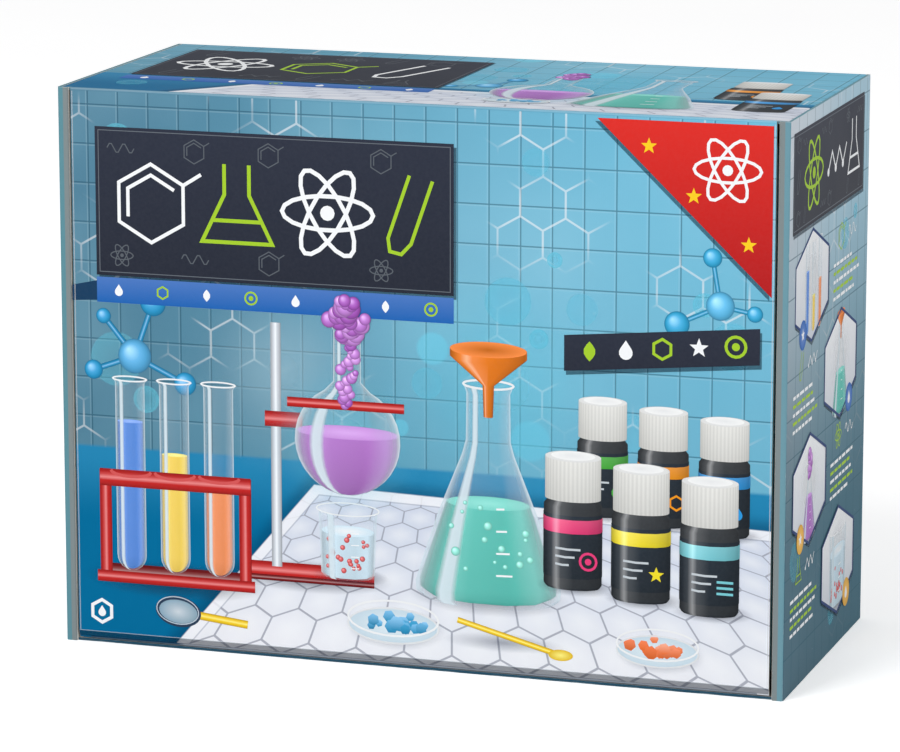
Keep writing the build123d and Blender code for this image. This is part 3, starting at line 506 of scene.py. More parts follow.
def printed_board(name, faces, strips=(), thick=None, strip_tone=STRIP_RIGHT, rolled=False):
    """Printed, coated board: ink outside, grey-white liner inside, and flutes in its cut edges.

    faces are the outer faces it shows, strips the outer directions where it shows only a plain band,
    and thick is the direction of its thickness, where a cut edge shows. A rolled wall's front edge is
    inked only in its outer part.
    """
    made, tree, shader = blank(name)
    coords = tree.nodes.new("ShaderNodeTexCoord")
    place, facing = coords.outputs["Object"], coords.outputs["Normal"]
    fibre = use(tree, paper_fibre, place)
    colour = liner_colour(tree, fibre)
    printed = 0.0
    if thick:
        level = abs((case_high if sum(thick) > 0 else case_low).dot(Vector(thick))) * sum(thick)
        colour = mix(tree, *cut_share(tree, place, facing, thick, level, colour))
    for face in (*faces, *strips):
        out, right, up, wide, high, left_tone, right_tone, darkening, bench = FACES[face]
        origin = face_origin(face)
        toward = maths(tree, "GREATER_THAN", vectors(tree, "DOT_PRODUCT", facing, out), 0.6)
        level = origin.dot(Vector(out)) - 1.6 * MM
        near = maths(tree, "GREATER_THAN", vectors(tree, "DOT_PRODUCT", place, out), level)
        here = maths(tree, "MULTIPLY", toward, near)
        from_corner = scaled(tree, vectors(tree, "SUBTRACT", place, tuple(origin)), 1 / MM)
        u = vectors(tree, "DOT_PRODUCT", from_corner, right)
        v = vectors(tree, "DOT_PRODUCT", from_corner, up)
        if face in faces:
            spot, size = joined(tree, u, v), (wide, high, 1.0)
            ink = use(tree, printed_ground, spot, size, left_tone, right_tone, darkening, bench)[0]
        else:
            ink = mix(tree, maths(tree, "MULTIPLY", fibre[0], 0.25), strip_tone, lit(strip_tone, 1.2))
        sides = maths(tree, "MINIMUM", u, maths(tree, "SUBTRACT", wide, u))
        if rolled and face == "front":
            # past ROLL_INK the edge is bare board in ROLL_GREY, painted dark as painted shade in the slit beside the
            # lid
            ink = mix(tree, ramp(tree, sides, ROLL_INK - 0.25, ROLL_INK + 0.25), ink, ROLL_GREY)
        ends = maths(tree, "MINIMUM", v, maths(tree, "SUBTRACT", high, v))
        worn = use(tree, fold_wear, maths(tree, "MINIMUM", sides, ends), place)
        ink = mix(tree, maths(tree, "MULTIPLY", worn[0], 0.5), ink, tint(206, 214, 216))
        colour = mix(tree, here, colour, ink)
        printed = maths(tree, "MAXIMUM", printed, here)
    board_finish(tree, shader, place, fibre, colour, printed)
    return made


def flap_board(name, thick, level):
    """A flap that tucks away: plain teal ink outside, liner inside, flutes in its cut edges."""
    made, tree, shader = blank(name)
    coords = tree.nodes.new("ShaderNodeTexCoord")
    place, facing = coords.outputs["Object"], coords.outputs["Normal"]
    fibre = use(tree, paper_fibre, place)
    colour = mix(tree, *cut_share(tree, place, facing, thick, level, liner_colour(tree, fibre)))
    printed = maths(tree, "GREATER_THAN", vectors(tree, "DOT_PRODUCT", facing, thick), 0.6)
    rubbed = ramp(tree, noise(tree, place, 130.0, 5.0), 0.56, 0.72)
    ink = mix(tree, maths(tree, "MULTIPLY", rubbed, 0.3), STRIP_LEFT, tint(170, 186, 192))
    board_finish(tree, shader, place, fibre, mix(tree, printed, colour, ink), printed)
    return made


def printed_ink(name, clear):
    """Ink of the drawn shapes, from their own colours, with the faint grain of the varnished sheet."""
    made, tree, shader = blank(name)
    coords = tree.nodes.new("ShaderNodeTexCoord")
    place = coords.outputs["Object"]
    colours = tree.nodes.new("ShaderNodeVertexColor")
    colours.layer_name = "ink"
    grain = noise(tree, place, 700.0, 3.0)
    shaded = mix(tree, maths(tree, "MULTIPLY", grain, 0.06), colours.outputs["Color"], tint(128, 132, 138))
    feed(tree, shader.inputs["Base Color"], shaded)
    if clear:
        feed(tree, shader.inputs["Alpha"], colours.outputs["Alpha"])
    uneven = noise(tree, place, 35.0, 3.0)
    feed(tree, shader.inputs["Roughness"], maths(tree, "MULTIPLY_ADD", uneven, 0.08, 0.44))
    shader.inputs["Specular IOR Level"].default_value = PRINT_GLOSS
    relief(tree, shader, noise(tree, place, 26.0, 2.0), 0.0001)
    return made


solid_ink = printed_ink("solid_ink", False)
glaze_ink = printed_ink("glaze_ink", True)


# ---- the printed sheets ----
def rounded(points, radius, steps=4):
    """An outline's corners turned into arcs."""
    smooth = []
    for i, corner in enumerate(points):
        corner = Vector(corner)
        before, after = Vector(points[i - 1]) - corner, Vector(points[(i + 1) % len(points)]) - corner
        reach = min(radius, 0.45 * before.length, 0.45 * after.length)
        start, end = corner + before.normalized() * reach, corner + after.normalized() * reach
        for step in range(steps + 1):
            share = step / steps
            smooth.append(start.lerp(corner, share).lerp(corner.lerp(end, share), share))
    return smooth


def hexagon(x, y, radius, turn=30.0, stretch=1.0):
    angles = [math.radians(turn + 60 * i) for i in range(6)]
    return [(x + stretch * radius * math.cos(a), y + radius * math.sin(a)) for a in angles]


class Sheet:
    """A printed face: flat shapes of ink, each laid over those that it covers."""

    def __init__(self, name, face="front", round_about=None):
        """On an outer face, or wrapped about an upright axis: (a point on it in metres, radius in millimetres)."""
        out, right, up = (Vector(v) for v in FACES[face][:3])
        self.name = name
        self.mesh = bmesh.new()
        self.ink = self.mesh.loops.layers.float_color.new("ink")
        self.covered = []
        self.round_about = round_about
        self.lift = ROUND_LIFT if round_about else LIFT
        origin = face_origin(face) + out * 0.05 * MM
        self.frame = Matrix.Translation(origin) @ Matrix((right, up, out)).transposed().to_4x4()
        self.at()

    def at(self, x=0.0, y=0.0, scale=1.0, turn=0.0):
        """Draws the next shapes about this place."""
        self.local = Matrix.Translation((x, y, 0)) @ Matrix.Rotation(math.radians(turn), 4, "Z")
        self.local = self.local @ Matrix.Scale(scale, 4)
        return self

    def lay(self, colours):
        """Puts a new shape's corners in place and in colour, over what lies under it."""
        spots = {vert: self.local @ vert.co for vert in colours}
        low = [min(s[i] for s in spots.values()) for i in range(2)]
        high = [max(s[i] for s in spots.values()) for i in range(2)]
        under = [
            layer
            for layer, a, b in self.covered
            if a[0] < high[0] and b[0] > low[0] and a[1] < high[1] and b[1] > low[1]
        ]
        layer = 1 + max(under, default=0)
        self.covered.append((layer, low, high))
        faces = {face for vert in colours for face in vert.link_faces}
        clear = any(colour[3] < 0.999 for colour in colours.values())
        for vert, spot in spots.items():
            vert.co = (spot.x, spot.y, layer * self.lift)
        for face in faces:
            face.normal_update()
            if face.normal.z < 0:
                face.normal_flip()
            face.material_index = int(clear)
            for loop in face.loops:
                loop[self.ink] = colours[loop.vert]
        for vert in colours:
            if self.round_about:
                base, radius = self.round_about
                reach = (radius + vert.co.z) * MM
                angle = vert.co.x / radius
                vert.co = base + Vector((reach * math.sin(angle), -reach * math.cos(angle), vert.co.y * MM))
            else:
                vert.co = self.frame @ (vert.co * MM)

    def patch(self, columns, rows, shape, paint):
        """A grid bent to a shape: both are functions of -1 to 1 across and 0 to 1 up."""
        made = bmesh.ops.create_grid(self.mesh, x_segments=columns, y_segments=rows, size=1)
        colours = {}
        for vert in made["verts"]:
            u, v = vert.co.x, (vert.co.y + 1) / 2
            vert.co = (*shape(u, v), 0)
            colours[vert] = paint(u, v)
        self.lay(colours)

    def fill(self, points, colour, top=None):
        """A closed outline in one colour, or from one at its foot to another at its top."""
        earlier = len(self.mesh.verts)
        face = self.mesh.faces.new([self.mesh.verts.new((p[0], p[1], 0)) for p in points])
        if self.round_about:
            pieces = bmesh.ops.triangulate(self.mesh, faces=[face])["faces"]
            edges = list({edge for piece in pieces for edge in piece.edges})
            bmesh.ops.subdivide_edges(self.mesh, edges=edges, cuts=3, use_grid_fill=True)
        verts = list(self.mesh.verts)[earlier:]
        low, high = min(p[1] for p in points), max(p[1] for p in points)
        self.lay({v: mixed(colour, top or colour, (v.co.y - low) / (high - low)) for v in verts})

    def disc(self, x, y, radius, rim, middle=None, flat=1.0, steps=36):
        """A round or oval spot, from a middle colour to a rim colour."""
        made = bmesh.ops.create_circle(self.mesh, cap_ends=True, cap_tris=True, segments=steps, radius=1)
        colours = {}
        for vert in made["verts"]:
            colours[vert] = (middle or rim) if vert.co.length < 0.5 else rim
            vert.co = (x + vert.co.x * radius, y + vert.co.y * radius * flat, 0)
        self.lay(colours)

    def stroke(self, points, width, colour, closed=False, end=None):
        """A line of ink along points."""
        path = [Vector((p[0], p[1])) for p in points]
        if closed:
            path.append(path[0])
        if self.round_about:
            path = [a.lerp(b, i / 5) for a, b in zip(path, path[1:]) for i in range(5)] + path[-1:]
        spans = len(path) - 1

        def side(i):
            before = path[i] - path[i - 1] if i > 0 else (path[0] - path[-2] if closed else path[1] - path[0])
            after = path[i + 1] - path[i] if i < spans else (path[1] - path[0] if closed else before)
            before, after = before.normalized(), after.normalized()
            middle = (before + after).normalized() if (before + after).length > 0.01 else after
            across = Vector((-middle.y, middle.x))
            return across * (width / 2 / max(0.5, across.dot(Vector((-after.y, after.x)))))

        def shape(u, v):
            i = round((u + 1) / 2 * spans)
            return path[i] + side(i) * (2 * v - 1)

        self.patch(spans, 1, shape, lambda u, v: mixed(colour, end or colour, (u + 1) / 2))

    def glow(self, x, y, radius, colour, strength=0.8):
        """A soft light that fades to nothing."""
        stops = [(0.0, 1.0), (0.3, 0.72), (0.6, 0.3), (0.85, 0.06), (1.0, 0.0)]

        def shape(u, v):
            reach = stops[round(v * 4)][0] * radius
            return x + reach * math.cos(math.pi * u), y + reach * math.sin(math.pi * u)

        self.patch(32, 4, shape, lambda u, v: faded(colour, strength * stops[round(v * 4)][1]))

    def ball(self, x, y, radius, colour, alpha=1.0):
        """A lit ball."""
        stops = [(0.0, 1.75), (0.22, 1.45), (0.5, 1.08), (0.78, 0.82), (0.93, 0.6), (1.0, 0.42)]

        def shape(u, v):
            reach, _ = stops[round(v * 5)]
            move = 0.38 * radius * (1 - reach)
            angle = math.pi * u
            return x - move + reach * radius * math.cos(angle), y + move + reach * radius * math.sin(angle)

        self.patch(32, 5, shape, lambda u, v: faded(lit(colour, stops[round(v * 5)][1]), alpha))

    def turned(self, profile, foot, top, columns, tilt=0.16):
        """A round piece seen from a little above: profile is (height, half width) from its foot up.

        columns are (place across, light, alpha), and the colour goes from foot to top.
        """
        rows, count = len(profile) - 1, len(columns) - 1

        def shape(u, v):
            across = columns[round((u + 1) / 2 * count)][0]
            high, half = profile[round(v * rows)]
            return half * across, high - tilt * half * math.sqrt(max(0, 1 - across * across))

        def paint(u, v):
            _, light, alpha = columns[round((u + 1) / 2 * count)]
            return faded(lit(mixed(foot, top, v), light), alpha)

        self.patch(count, rows, shape, paint)

    def finish(self, body):
        """Ends the sheet: makes its mesh and lets it ride on a body."""
        data = bpy.data.meshes.new(self.name)
        bmesh.ops.triangulate(self.mesh, faces=[f for f in self.mesh.faces if len(f.verts) > 4])
        self.mesh.to_mesh(data)
        self.mesh.free()
        piece = bpy.data.objects.new(self.name, data)
        bpy.context.scene.collection.objects.link(piece)
        data.materials.append(solid_ink)
        data.materials.append(glaze_ink)
        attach(piece, body)
        return piece


# light across a round opaque piece, and across thin glass
SOLID = [(-1, 0.42, 1), (-0.9, 0.7, 1), (-0.72, 1.05, 1), (-0.56, 1.5, 1), (-0.42, 1.1, 1), (0, 0.95, 1),
         (0.5, 0.8, 1), (0.82, 0.62, 1), (0.94, 0.5, 1), (1, 0.66, 1)]
CLEAR = [(-1, 1, 0.75), (-0.9, 1, 0.3), (-0.74, 1, 0.1), (-0.66, 1, 0.85), (-0.52, 1, 0.8), (-0.44, 1, 0.1),
         (0.4, 1, 0.06), (0.8, 1, 0.22), (0.93, 1, 0.35), (1, 1, 0.8)]
LIQUID = [(-1, 0.55, 1), (-0.85, 0.78, 1), (-0.6, 1.15, 1), (-0.3, 1.0, 1), (0.3, 0.92, 1), (0.75, 1.06, 1),
          (1, 0.62, 1)]


def cone_flask(sheet, x, y, size, liquid, level=0.5):
    """A conical flask with a coloured liquid."""
    sheet.at(x, y, size)
    sheet.disc(0, 1, 30, tint(60, 70, 90, 0.0), tint(20, 30, 50, 0.55), 0.25)
    body = [(0, 24), (1.5, 26.5), (5, 26.8), (30, 18.5), (52, 9.6), (57, 8.2), (74, 8.0), (77, 9.2)]
    filled = [(1.5, 23), (3, 25), (6, 25.2)]
    top = 6 + level * 46
    filled += [(top, 25.2 - (top - 6) * 0.345)]
    sheet.turned(filled, lit(liquid, 0.72), lit(liquid, 1.12), LIQUID)
    half = filled[-1][1]
    sheet.disc(0, top, half, lit(liquid, 1.3), lit(liquid, 1.55), 0.16)
    sheet.turned(body, GLASS, GLASS, CLEAR)
    for mark in range(4):
        high = 12 + 8 * mark
        sheet.stroke([(3, high - 3.4), (9 - mark, high - 3.2)], 0.7, WHITE)
    oval = [(9.2 * math.cos(a / 12 * math.pi), 77 + 1.6 * math.sin(a / 12 * math.pi)) for a in range(24)]
    sheet.stroke(oval, 0.8, faded(WHITE, 0.9), closed=True)
    sheet.at()


def round_flask(sheet, x, y, size, liquid):
    """A round-bottomed flask, half full."""
    sheet.at(x, y, size)
    sheet.glow(0, 0, 44, CYAN_GLOW, 0.45)
    low = [(-28 * math.cos(a), 28 * math.sin(a)) for a in (math.radians(12 * i) for i in range(8))]
    sheet.turned([(h, max(w, 0.5)) for h, w in low] + [(4, 27.6)], lit(liquid, 0.6), lit(liquid, 1.1), LIQUID, 0.12)
    sheet.disc(0, 4, 27.4, lit(liquid, 1.3), lit(liquid, 1.6), 0.13)
    ball = [(-28 * math.cos(math.radians(a)), max(0.5, 28 * math.sin(math.radians(a)))) for a in range(0, 165, 11)]
    sheet.turned(ball + [(30, 7.4), (56, 7.2), (58.5, 8.8)], GLASS, GLASS, CLEAR, 0.12)
    oval = [(8.8 * math.cos(a / 12 * math.pi), 58.5 + 1.4 * math.sin(a / 12 * math.pi)) for a in range(24)]
    sheet.stroke(oval, 0.8, faded(WHITE, 0.9), closed=True)
    sheet.at()


def tube(sheet, x, y, size, liquid, level, turn=0.0):
    """A test tube, 100 long and 16 wide, with liquid to a level."""
    sheet.at(x, y, size, turn)
    foot = [(8 - 8 * math.cos(math.radians(a)), max(0.4, 8 * math.sin(math.radians(a)))) for a in range(10, 91, 16)]
    inner = [(h + 0.8, w * 0.88) for h, w in foot]
    sheet.turned(inner + [(level, 7.0)], lit(liquid, 0.8), lit(liquid, 1.1), LIQUID, 0.14)
    sheet.disc(0, level, 7.0, lit(liquid, 1.35), lit(liquid, 1.6), 0.14, 20)
    sheet.turned(foot + [(98, 8), (100, 9.2)], GLASS, GLASS, CLEAR, 0.14)
    oval = [(9.2 * math.cos(a / 10 * math.pi), 100 + 1.3 * math.sin(a / 10 * math.pi)) for a in range(20)]
    sheet.stroke(oval, 0.8, faded(WHITE, 0.95), closed=True)
    sheet.at()


def bar(sheet, start, end, width, colour):
    """A round bar between two points, lit along one side."""
    start, end = Vector(start), Vector(end)
    turn = math.degrees(math.atan2(end.y - start.y, end.x - start.x))
    length = (end - start).length
    lights = [0.5, 0.8, 1.0, 1.45, 1.1, 0.8, 0.55]
    keep = sheet.local
    sheet.local = keep @ Matrix.Translation((*start, 0)) @ Matrix.Rotation(math.radians(turn), 4, "Z")
    sheet.patch(
        1, 6, lambda u, v: ((u + 1) / 2 * length, (v - 0.5) * width), lambda u, v: lit(colour, lights[round(v * 6)])
    )
    sheet.local = keep


def tube_rack(sheet, x, y, size, liquids):
    """A moulded rack with a row of test tubes."""
    sheet.at(x, y, size)
    wide = 24 * len(liquids) + 10
    sheet.disc(wide / 2, 0, wide * 0.62, tint(40, 50, 70, 0.0), tint(10, 20, 40, 0.6), 0.2)
    bar(sheet, (0, 3), (wide, 3), 8, DEEP_RED)
    for side in (3, wide - 3):
        bar(sheet, (side, 0), (side, 56), 6.5, RED)
    for i, (liquid, level) in enumerate(liquids):
        tube(sheet, x + size * (17 + 24 * i), y + size * 4, size, liquid, level)
        sheet.at(x, y, size)
    bar(sheet, (0, 52), (wide, 52), 9, RED)
    for i in range(len(liquids)):
        place = 17 + 24 * i
        ring = [(place + 11 * math.cos(a / 8 * math.pi), 56 + 3 * math.sin(a / 8 * math.pi)) for a in range(8, 17)]
        sheet.stroke(ring, 1.6, lit(RED, 1.15))
    bar(sheet, (-2, 0), (wide + 2, 0), 6, RED)
    sheet.at()


def mark(sheet, kind, x, y, size, colour):
    """A small plain sign: drop, hexagon, leaf, star, ring, or for any other kind three bars."""
    if kind == "hexagon":
        sheet.stroke(hexagon(x, y, size), size * 0.28, colour, closed=True)
    elif kind == "ring":
        sheet.stroke([(x + size * math.cos(a / 8 * math.pi), y + size * math.sin(a / 8 * math.pi)) for a in range(16)],
                     size * 0.3, colour, closed=True)
        sheet.disc(x, y, size * 0.4, colour)
    elif kind == "drop":
        round_part = [(x + size * 0.7 * math.cos(math.radians(a)), y - size * 0.25 + size * 0.7 * math.sin(math.radians(a)))
                      for a in range(145, 396, 25)]
        sheet.fill(round_part + [(x, y + size)], colour)
    elif kind == "leaf":
        right = [(x + size * 0.62 * math.sin(t), y - size + 2 * size * t / math.pi) for t in (0.0, 0.6, 1.2, 1.9, 2.6, 3.14)]
        left = [(2 * x - px, py) for px, py in reversed(right[1:-1])]
        sheet.fill(right + left, colour)
    elif kind == "star":
        tips = []
        for i in range(10):
            reach = size if i % 2 == 0 else size * 0.42
            angle = math.radians(90 + 36 * i)
            tips.append((x + reach * math.cos(angle), y + reach * math.sin(angle)))
        sheet.fill(tips, colour)
    else:
        for i in range(3):
            sheet.stroke([(x - size, y + (i - 1) * size * 0.7), (x + size, y + (i - 1) * size * 0.7)], size * 0.3, colour)


def bottle(sheet, x, y, size, band, sign):
    """A dark bottle with a white ribbed cap and a label, 68 high."""
    sheet.at(x, y, size)
    sheet.disc(2, 0, 21, tint(60, 70, 90, 0.0), tint(10, 20, 40, 0.6), 0.25)
    sheet.turned([(0, 14), (1.5, 15), (42, 15), (47, 11)], BOTTLE_DARK, lit(BOTTLE_DARK, 1.1), SOLID)
    sheet.turned([(6, 15.2), (38, 15.2)], tint(34, 42, 50), tint(42, 52, 62), SOLID)
    sheet.turned([(29, 15.3), (36, 15.3)], band, lit(band, 1.1), SOLID)
    for i in range(3):
        row = 19 - 4 * i
        end = 4 - 3 * i
        sheet.stroke([(-9, row + 0.2), ((end - 9) / 2, row - 0.4), (end, row - 0.3)], 1.1, tint(196, 204, 210))
    mark(sheet, sign, 8, 13, 4.2, band)
    ribs = []
    for i in range(41):
        across = -math.cos(math.pi * i / 40)
        ribs.append((across, (0.72 + 0.3 * math.sqrt(1 - across * across)) * (1.0 if i % 2 else 0.84), 1))
    sheet.turned([(45, 14.4), (66, 14.4)], tint(214, 214, 210), CAP_WHITE, ribs)
    sheet.disc(0, 66, 14.4, tint(222, 223, 222), WHITE, 0.2)
    sheet.disc(0, 66.4, 11.4, tint(244, 245, 245), tint(232, 234, 235), 0.2)
    sheet.at()


def molecule(sheet, x, y, size, colour, arms, alpha=1.0):
    """Balls joined by rods: arms are (angle, length, ball size)."""
    sheet.at(x, y, size)
    for angle, length, _ in arms:
        end = (length * math.cos(math.radians(angle)), length * math.sin(math.radians(angle)))
        bar(sheet, (0, 0), end, 3.0, lit(colour, 0.8))
    for angle, length, radius in arms:
        sheet.ball(length * math.cos(math.radians(angle)), length * math.sin(math.radians(angle)), radius, colour, alpha)
    sheet.ball(0, 0, 9, lit(colour, 1.15), alpha)
    sheet.at()


def ring_stand(sheet, x, y, high):
    """A red laboratory stand with a clamp."""
    sheet.disc(x + 18, y, 44, tint(40, 50, 70, 0.0), tint(10, 20, 40, 0.6), 0.2)
    bar(sheet, (x - 14, y + 2), (x + 52, y + 2), 9, RED)
    bar(sheet, (x - 14, y - 2), (x + 52, y - 2), 3, DEEP_RED)
    bar(sheet, (x, y + 4), (x, y + high), 5.5, tint(206, 212, 220))
    bar(sheet, (x - 6, y + high * 0.62), (x + 14, y + high * 0.62), 8, RED)


def chalk_board(sheet, x, y, wide, high, seed, large=()):
    """A slate panel of faint chalk drawings, under large ones: (kind, how far along, size, colour)."""
    draw = random.Random(seed)
    sheet.fill([(x + 1.4, y - 1.8), (x + wide + 1.4, y - 1.8), (x + wide + 1.4, y + high - 1.8), (x + 1.4, y + high - 1.8)],
               tint(14, 40, 60, 0.5))
    sheet.fill([(x, y), (x + wide, y), (x + wide, y + high), (x, y + high)], lit(SLATE, 0.7), SLATE)
    inset = 1.8
    sheet.stroke([(x + inset, y + inset), (x + wide - inset, y + inset), (x + wide - inset, y + high - inset),
                  (x + inset, y + high - inset)], 0.4, lit(CHALK, 0.45), closed=True)
    pitch = high * 0.26
    for column in range(int((wide - 4) / pitch)):
        for row in (-1, 0, 1):
            cx = x + 4 + pitch * (column + 0.5)
            cy = y + high * (0.5 + 0.36 * row)
            kind = draw.choice(["ring", "chain", "flask", "tube", "atom", "wave"])
            reach = high * (0.12 if row == 0 else 0.08)
            apart = [math.hypot(cx - x - along, cy - y - high / 2) > 1.1 * size + reach for _, along, size, _ in large]
            if all(apart):
                chalk_drawing(sheet, kind, cx, cy, reach, lit(CHALK, 0.34))
    for kind, along, size, colour in large:
        chalk_drawing(sheet, kind, x + along, y + high / 2, size, colour)


def chalk_drawing(sheet, kind, x, y, size, colour=CHALK):
    """One small line drawing."""
    line = 0.09 * size
    if kind == "ring":
        sheet.stroke(hexagon(x, y, size), line, colour, closed=True)
        sheet.stroke(hexagon(x, y, size * 0.72)[:4], line, colour)
        sheet.stroke([(x + size * 0.87, y + size * 0.5), (x + size * 1.35, y + size * 0.8)], line, colour)
    elif kind == "chain":
        points = [(x + size * (-1.3 + 0.52 * i), y + (0.32 if i % 2 else -0.32) * size) for i in range(6)]
        sheet.stroke(points, line, colour)
        for point in points[::2]:
            sheet.disc(*point, line * 1.6, colour, steps=10)
    elif kind == "flask":
        outline = [(-0.3, 1), (-0.3, 0.3), (-0.85, -0.8), (0.85, -0.8), (0.3, 0.3), (0.3, 1)]
        sheet.stroke([(x + a * size, y + b * size) for a, b in outline], line, colour)
        sheet.stroke([(x - 0.6 * size, y - 0.3 * size), (x + 0.6 * size, y - 0.3 * size)], line, colour)
    elif kind == "tube":
        outline = [(-0.3, 1), (-0.3, -0.6), (-0.15, -0.9), (0.15, -0.9), (0.3, -0.6), (0.3, 1)]
        sheet.stroke([(x + (a + 0.35 * b) * size, y + (b - 0.2 * a) * size) for a, b in outline], line, colour)
    elif kind == "atom":
        for turn in (0, 60, 120):
            c, s = math.cos(math.radians(turn)), math.sin(math.radians(turn))
            oval = [(math.cos(a / 9 * math.pi), 0.36 * math.sin(a / 9 * math.pi)) for a in range(18)]
            sheet.stroke([(x + size * (c * a - s * b), y + size * (s * a + c * b)) for a, b in oval], line, colour,
                         closed=True)
        sheet.disc(x, y, size * 0.16, colour, steps=12)
    else:
        points = [(x + size * (-1.2 + 0.2 * i), y + 0.4 * size * math.sin(i * 1.05)) for i in range(13)]
        sheet.stroke(points, line, colour)


def rules(sheet, x, y, wide, rows, seed):
    """Rows of plain dashes, in white and lime by turns."""
    draw = random.Random(seed)
    for row in range(rows):
        start, end, high = x, x + wide * draw.uniform(0.7, 1.0), y - 4.3 * row
        while start < end - 3:
            stop = min(end, start + draw.uniform(4, 9))
            sheet.stroke([(start, high), (stop, high)], 1.7, LIME if row % 2 else WHITE)
            start = stop + 1.6


def sign_strip(sheet, x, y, wide, high):
    """A blue strip with a row of small lime and white signs."""
    sheet.fill([(x, y), (x + wide, y), (x + wide, y + high), (x, y + high)], SIGN_BLUE, lit(SIGN_BLUE, 1.12))
    count = int(wide / (high * 1.7))
    for i in range(count):
        place = x + wide * (i + 0.5) / count
        kind = ("drop", "hexagon", "leaf", "ring")[i % 4]
        mark(sheet, kind, place, y + high / 2, high * 0.24, LIME if i % 2 else WHITE)


def badge(sheet, x, y, size):
    """A red corner flag with a white atom, its right angle at the corner x, y."""
    points = [(x, y), (x, y - size), (x - size * 1.05, y)]
    sheet.fill([(px - 1.2, py - 1.6) for px, py in points], tint(20, 60, 80, 0.5))
    sheet.fill(points, tint(178, 24, 26), tint(222, 44, 36))
    chalk_drawing(sheet, "atom", x - size * 0.27, y - size * 0.27, size * 0.2, WHITE)
    for along, down in ((0.14, 0.7), (0.47, 0.43), (0.74, 0.15)):
        mark(sheet, "star", x - size * along, y - size * down, size * 0.05, YELLOW)


def hex_picture(sheet, x, y, radius, picture, stretch=1.0):
    """A picture in a hexagon with a dark blue outline."""
    sheet.fill(hexagon(x + 1, y - 1.4, radius * 1.04, stretch=stretch), tint(12, 40, 60, 0.5))
    sheet.fill(hexagon(x, y, radius, stretch=stretch), tint(206, 212, 222), WHITE)
    sheet.glow(x, y + radius * 0.1, radius * 0.8, WHITE, 0.8)
    picture()
    sheet.stroke(hexagon(x, y, radius, stretch=stretch), 1.5, tint(22, 56, 112), closed=True)


def beaker(sheet, x, y, size, bead, seed):
    """A glass beaker with small coloured beads in clear water."""
    sheet.at(x, y, size)
    sheet.disc(1, 0, 24, tint(60, 70, 90, 0.0), tint(20, 30, 50, 0.5), 0.25)
    water = tint(206, 228, 240)
    sheet.turned([(1, 15), (3, 15.6), (27, 16.4)], lit(water, 0.9), water, LIQUID, 0.2)
    sheet.disc(0, 27, 16.4, lit(water, 1.1), WHITE, 0.2)
    draw = random.Random(seed)
    for _ in range(22):
        high = abs(draw.gauss(0, 9))
        sheet.ball(draw.uniform(-13, 13), 3 + min(high, 22), draw.uniform(1.1, 1.7), bead)
    sheet.turned([(0, 15), (1.5, 16.5), (38, 18), (40, 19.4)], GLASS, GLASS, CLEAR, 0.2)
    for mark_high in range(4):
        sheet.stroke([(2, 8 + 7 * mark_high - 3.4), (7, 8 + 7 * mark_high - 3.2)], 0.6, WHITE)
    oval = [(19.4 * math.cos(a / 12 * math.pi), 40 + 3.9 * math.sin(a / 12 * math.pi)) for a in range(24)]
    sheet.stroke(oval, 0.8, faded(WHITE, 0.95), closed=True)
    sheet.at()


def hand_lens(sheet, x, y, size, turn):
    """A magnifier that lies on the bench."""
    sheet.at(x, y, size, turn)
    bar(sheet, (11, 0), (38, 0), 4.2, YELLOW)
    sheet.disc(0, 0, 11, tint(190, 222, 236, 0.45), tint(240, 248, 252, 0.7), 0.62)
    oval = [(11.5 * math.cos(a / 14 * math.pi), 7.1 * math.sin(a / 14 * math.pi)) for a in range(28)]
    sheet.stroke(oval, 1.9, tint(40, 60, 84), closed=True)
    sheet.stroke([(px - 0.4, py + 0.5) for px, py in oval], 0.5, tint(190, 204, 216), closed=True)
    sheet.at()


def crystals(sheet, x, y, size, colour, seed):
    """A small heap of crystals."""
    draw = random.Random(seed)
    for _ in range(16):
        cx, cy = x + draw.gauss(0, size * 0.42), y + abs(draw.gauss(0, size * 0.18))
        turn, reach = draw.uniform(0, 360), size * draw.uniform(0.1, 0.22)
        points = hexagon(cx, cy, reach, turn)
        sheet.fill(points, lit(colour, draw.uniform(0.6, 1.0)), lit(colour, draw.uniform(1.1, 1.6)))


def dish(sheet, x, y, radius, colour, seed):
    """A shallow glass dish of crystals."""
    sheet.disc(x + 1, y - 1.5, radius * 1.12, tint(60, 80, 110, 0.0), tint(30, 50, 80, 0.5), 0.42)
    sheet.disc(x, y, radius, tint(196, 216, 228), tint(226, 238, 244), 0.38)
    crystals(sheet, x, y - radius * 0.06, radius * 0.8, colour, seed)
    for lift, alpha in ((0, 0.75), (radius * 0.16, 0.95)):
        oval = [(x + radius * math.cos(a / 14 * math.pi), y + lift + 0.38 * radius * math.sin(a / 14 * math.pi))
                for a in range(28)]
        sheet.stroke(oval, radius * 0.045, faded(WHITE, alpha), closed=True)


def froth(sheet, x, y, wide, high, colour, seed, count=46):
    """Froth that boils up in a column and spills down on both sides."""
    draw = random.Random(seed)
    for i in range(count):
        share = i / count
        spread = wide * (0.3 + 0.5 * math.sin(math.pi * min(1, share * 1.15)) ** 2)
        cx = x + draw.uniform(-0.5, 0.5) * spread
        sheet.ball(cx, y + high * share, wide * draw.uniform(0.1, 0.2), lit(colour, draw.uniform(1.0, 1.45)))


def bokeh(sheet, spots):
    """Soft discs of light with a brighter rim."""
    for x, y, radius, strength in spots:
        sheet.disc(x, y, radius, faded(CYAN_GLOW, strength), faded(CYAN_GLOW, strength * 0.45), steps=40)


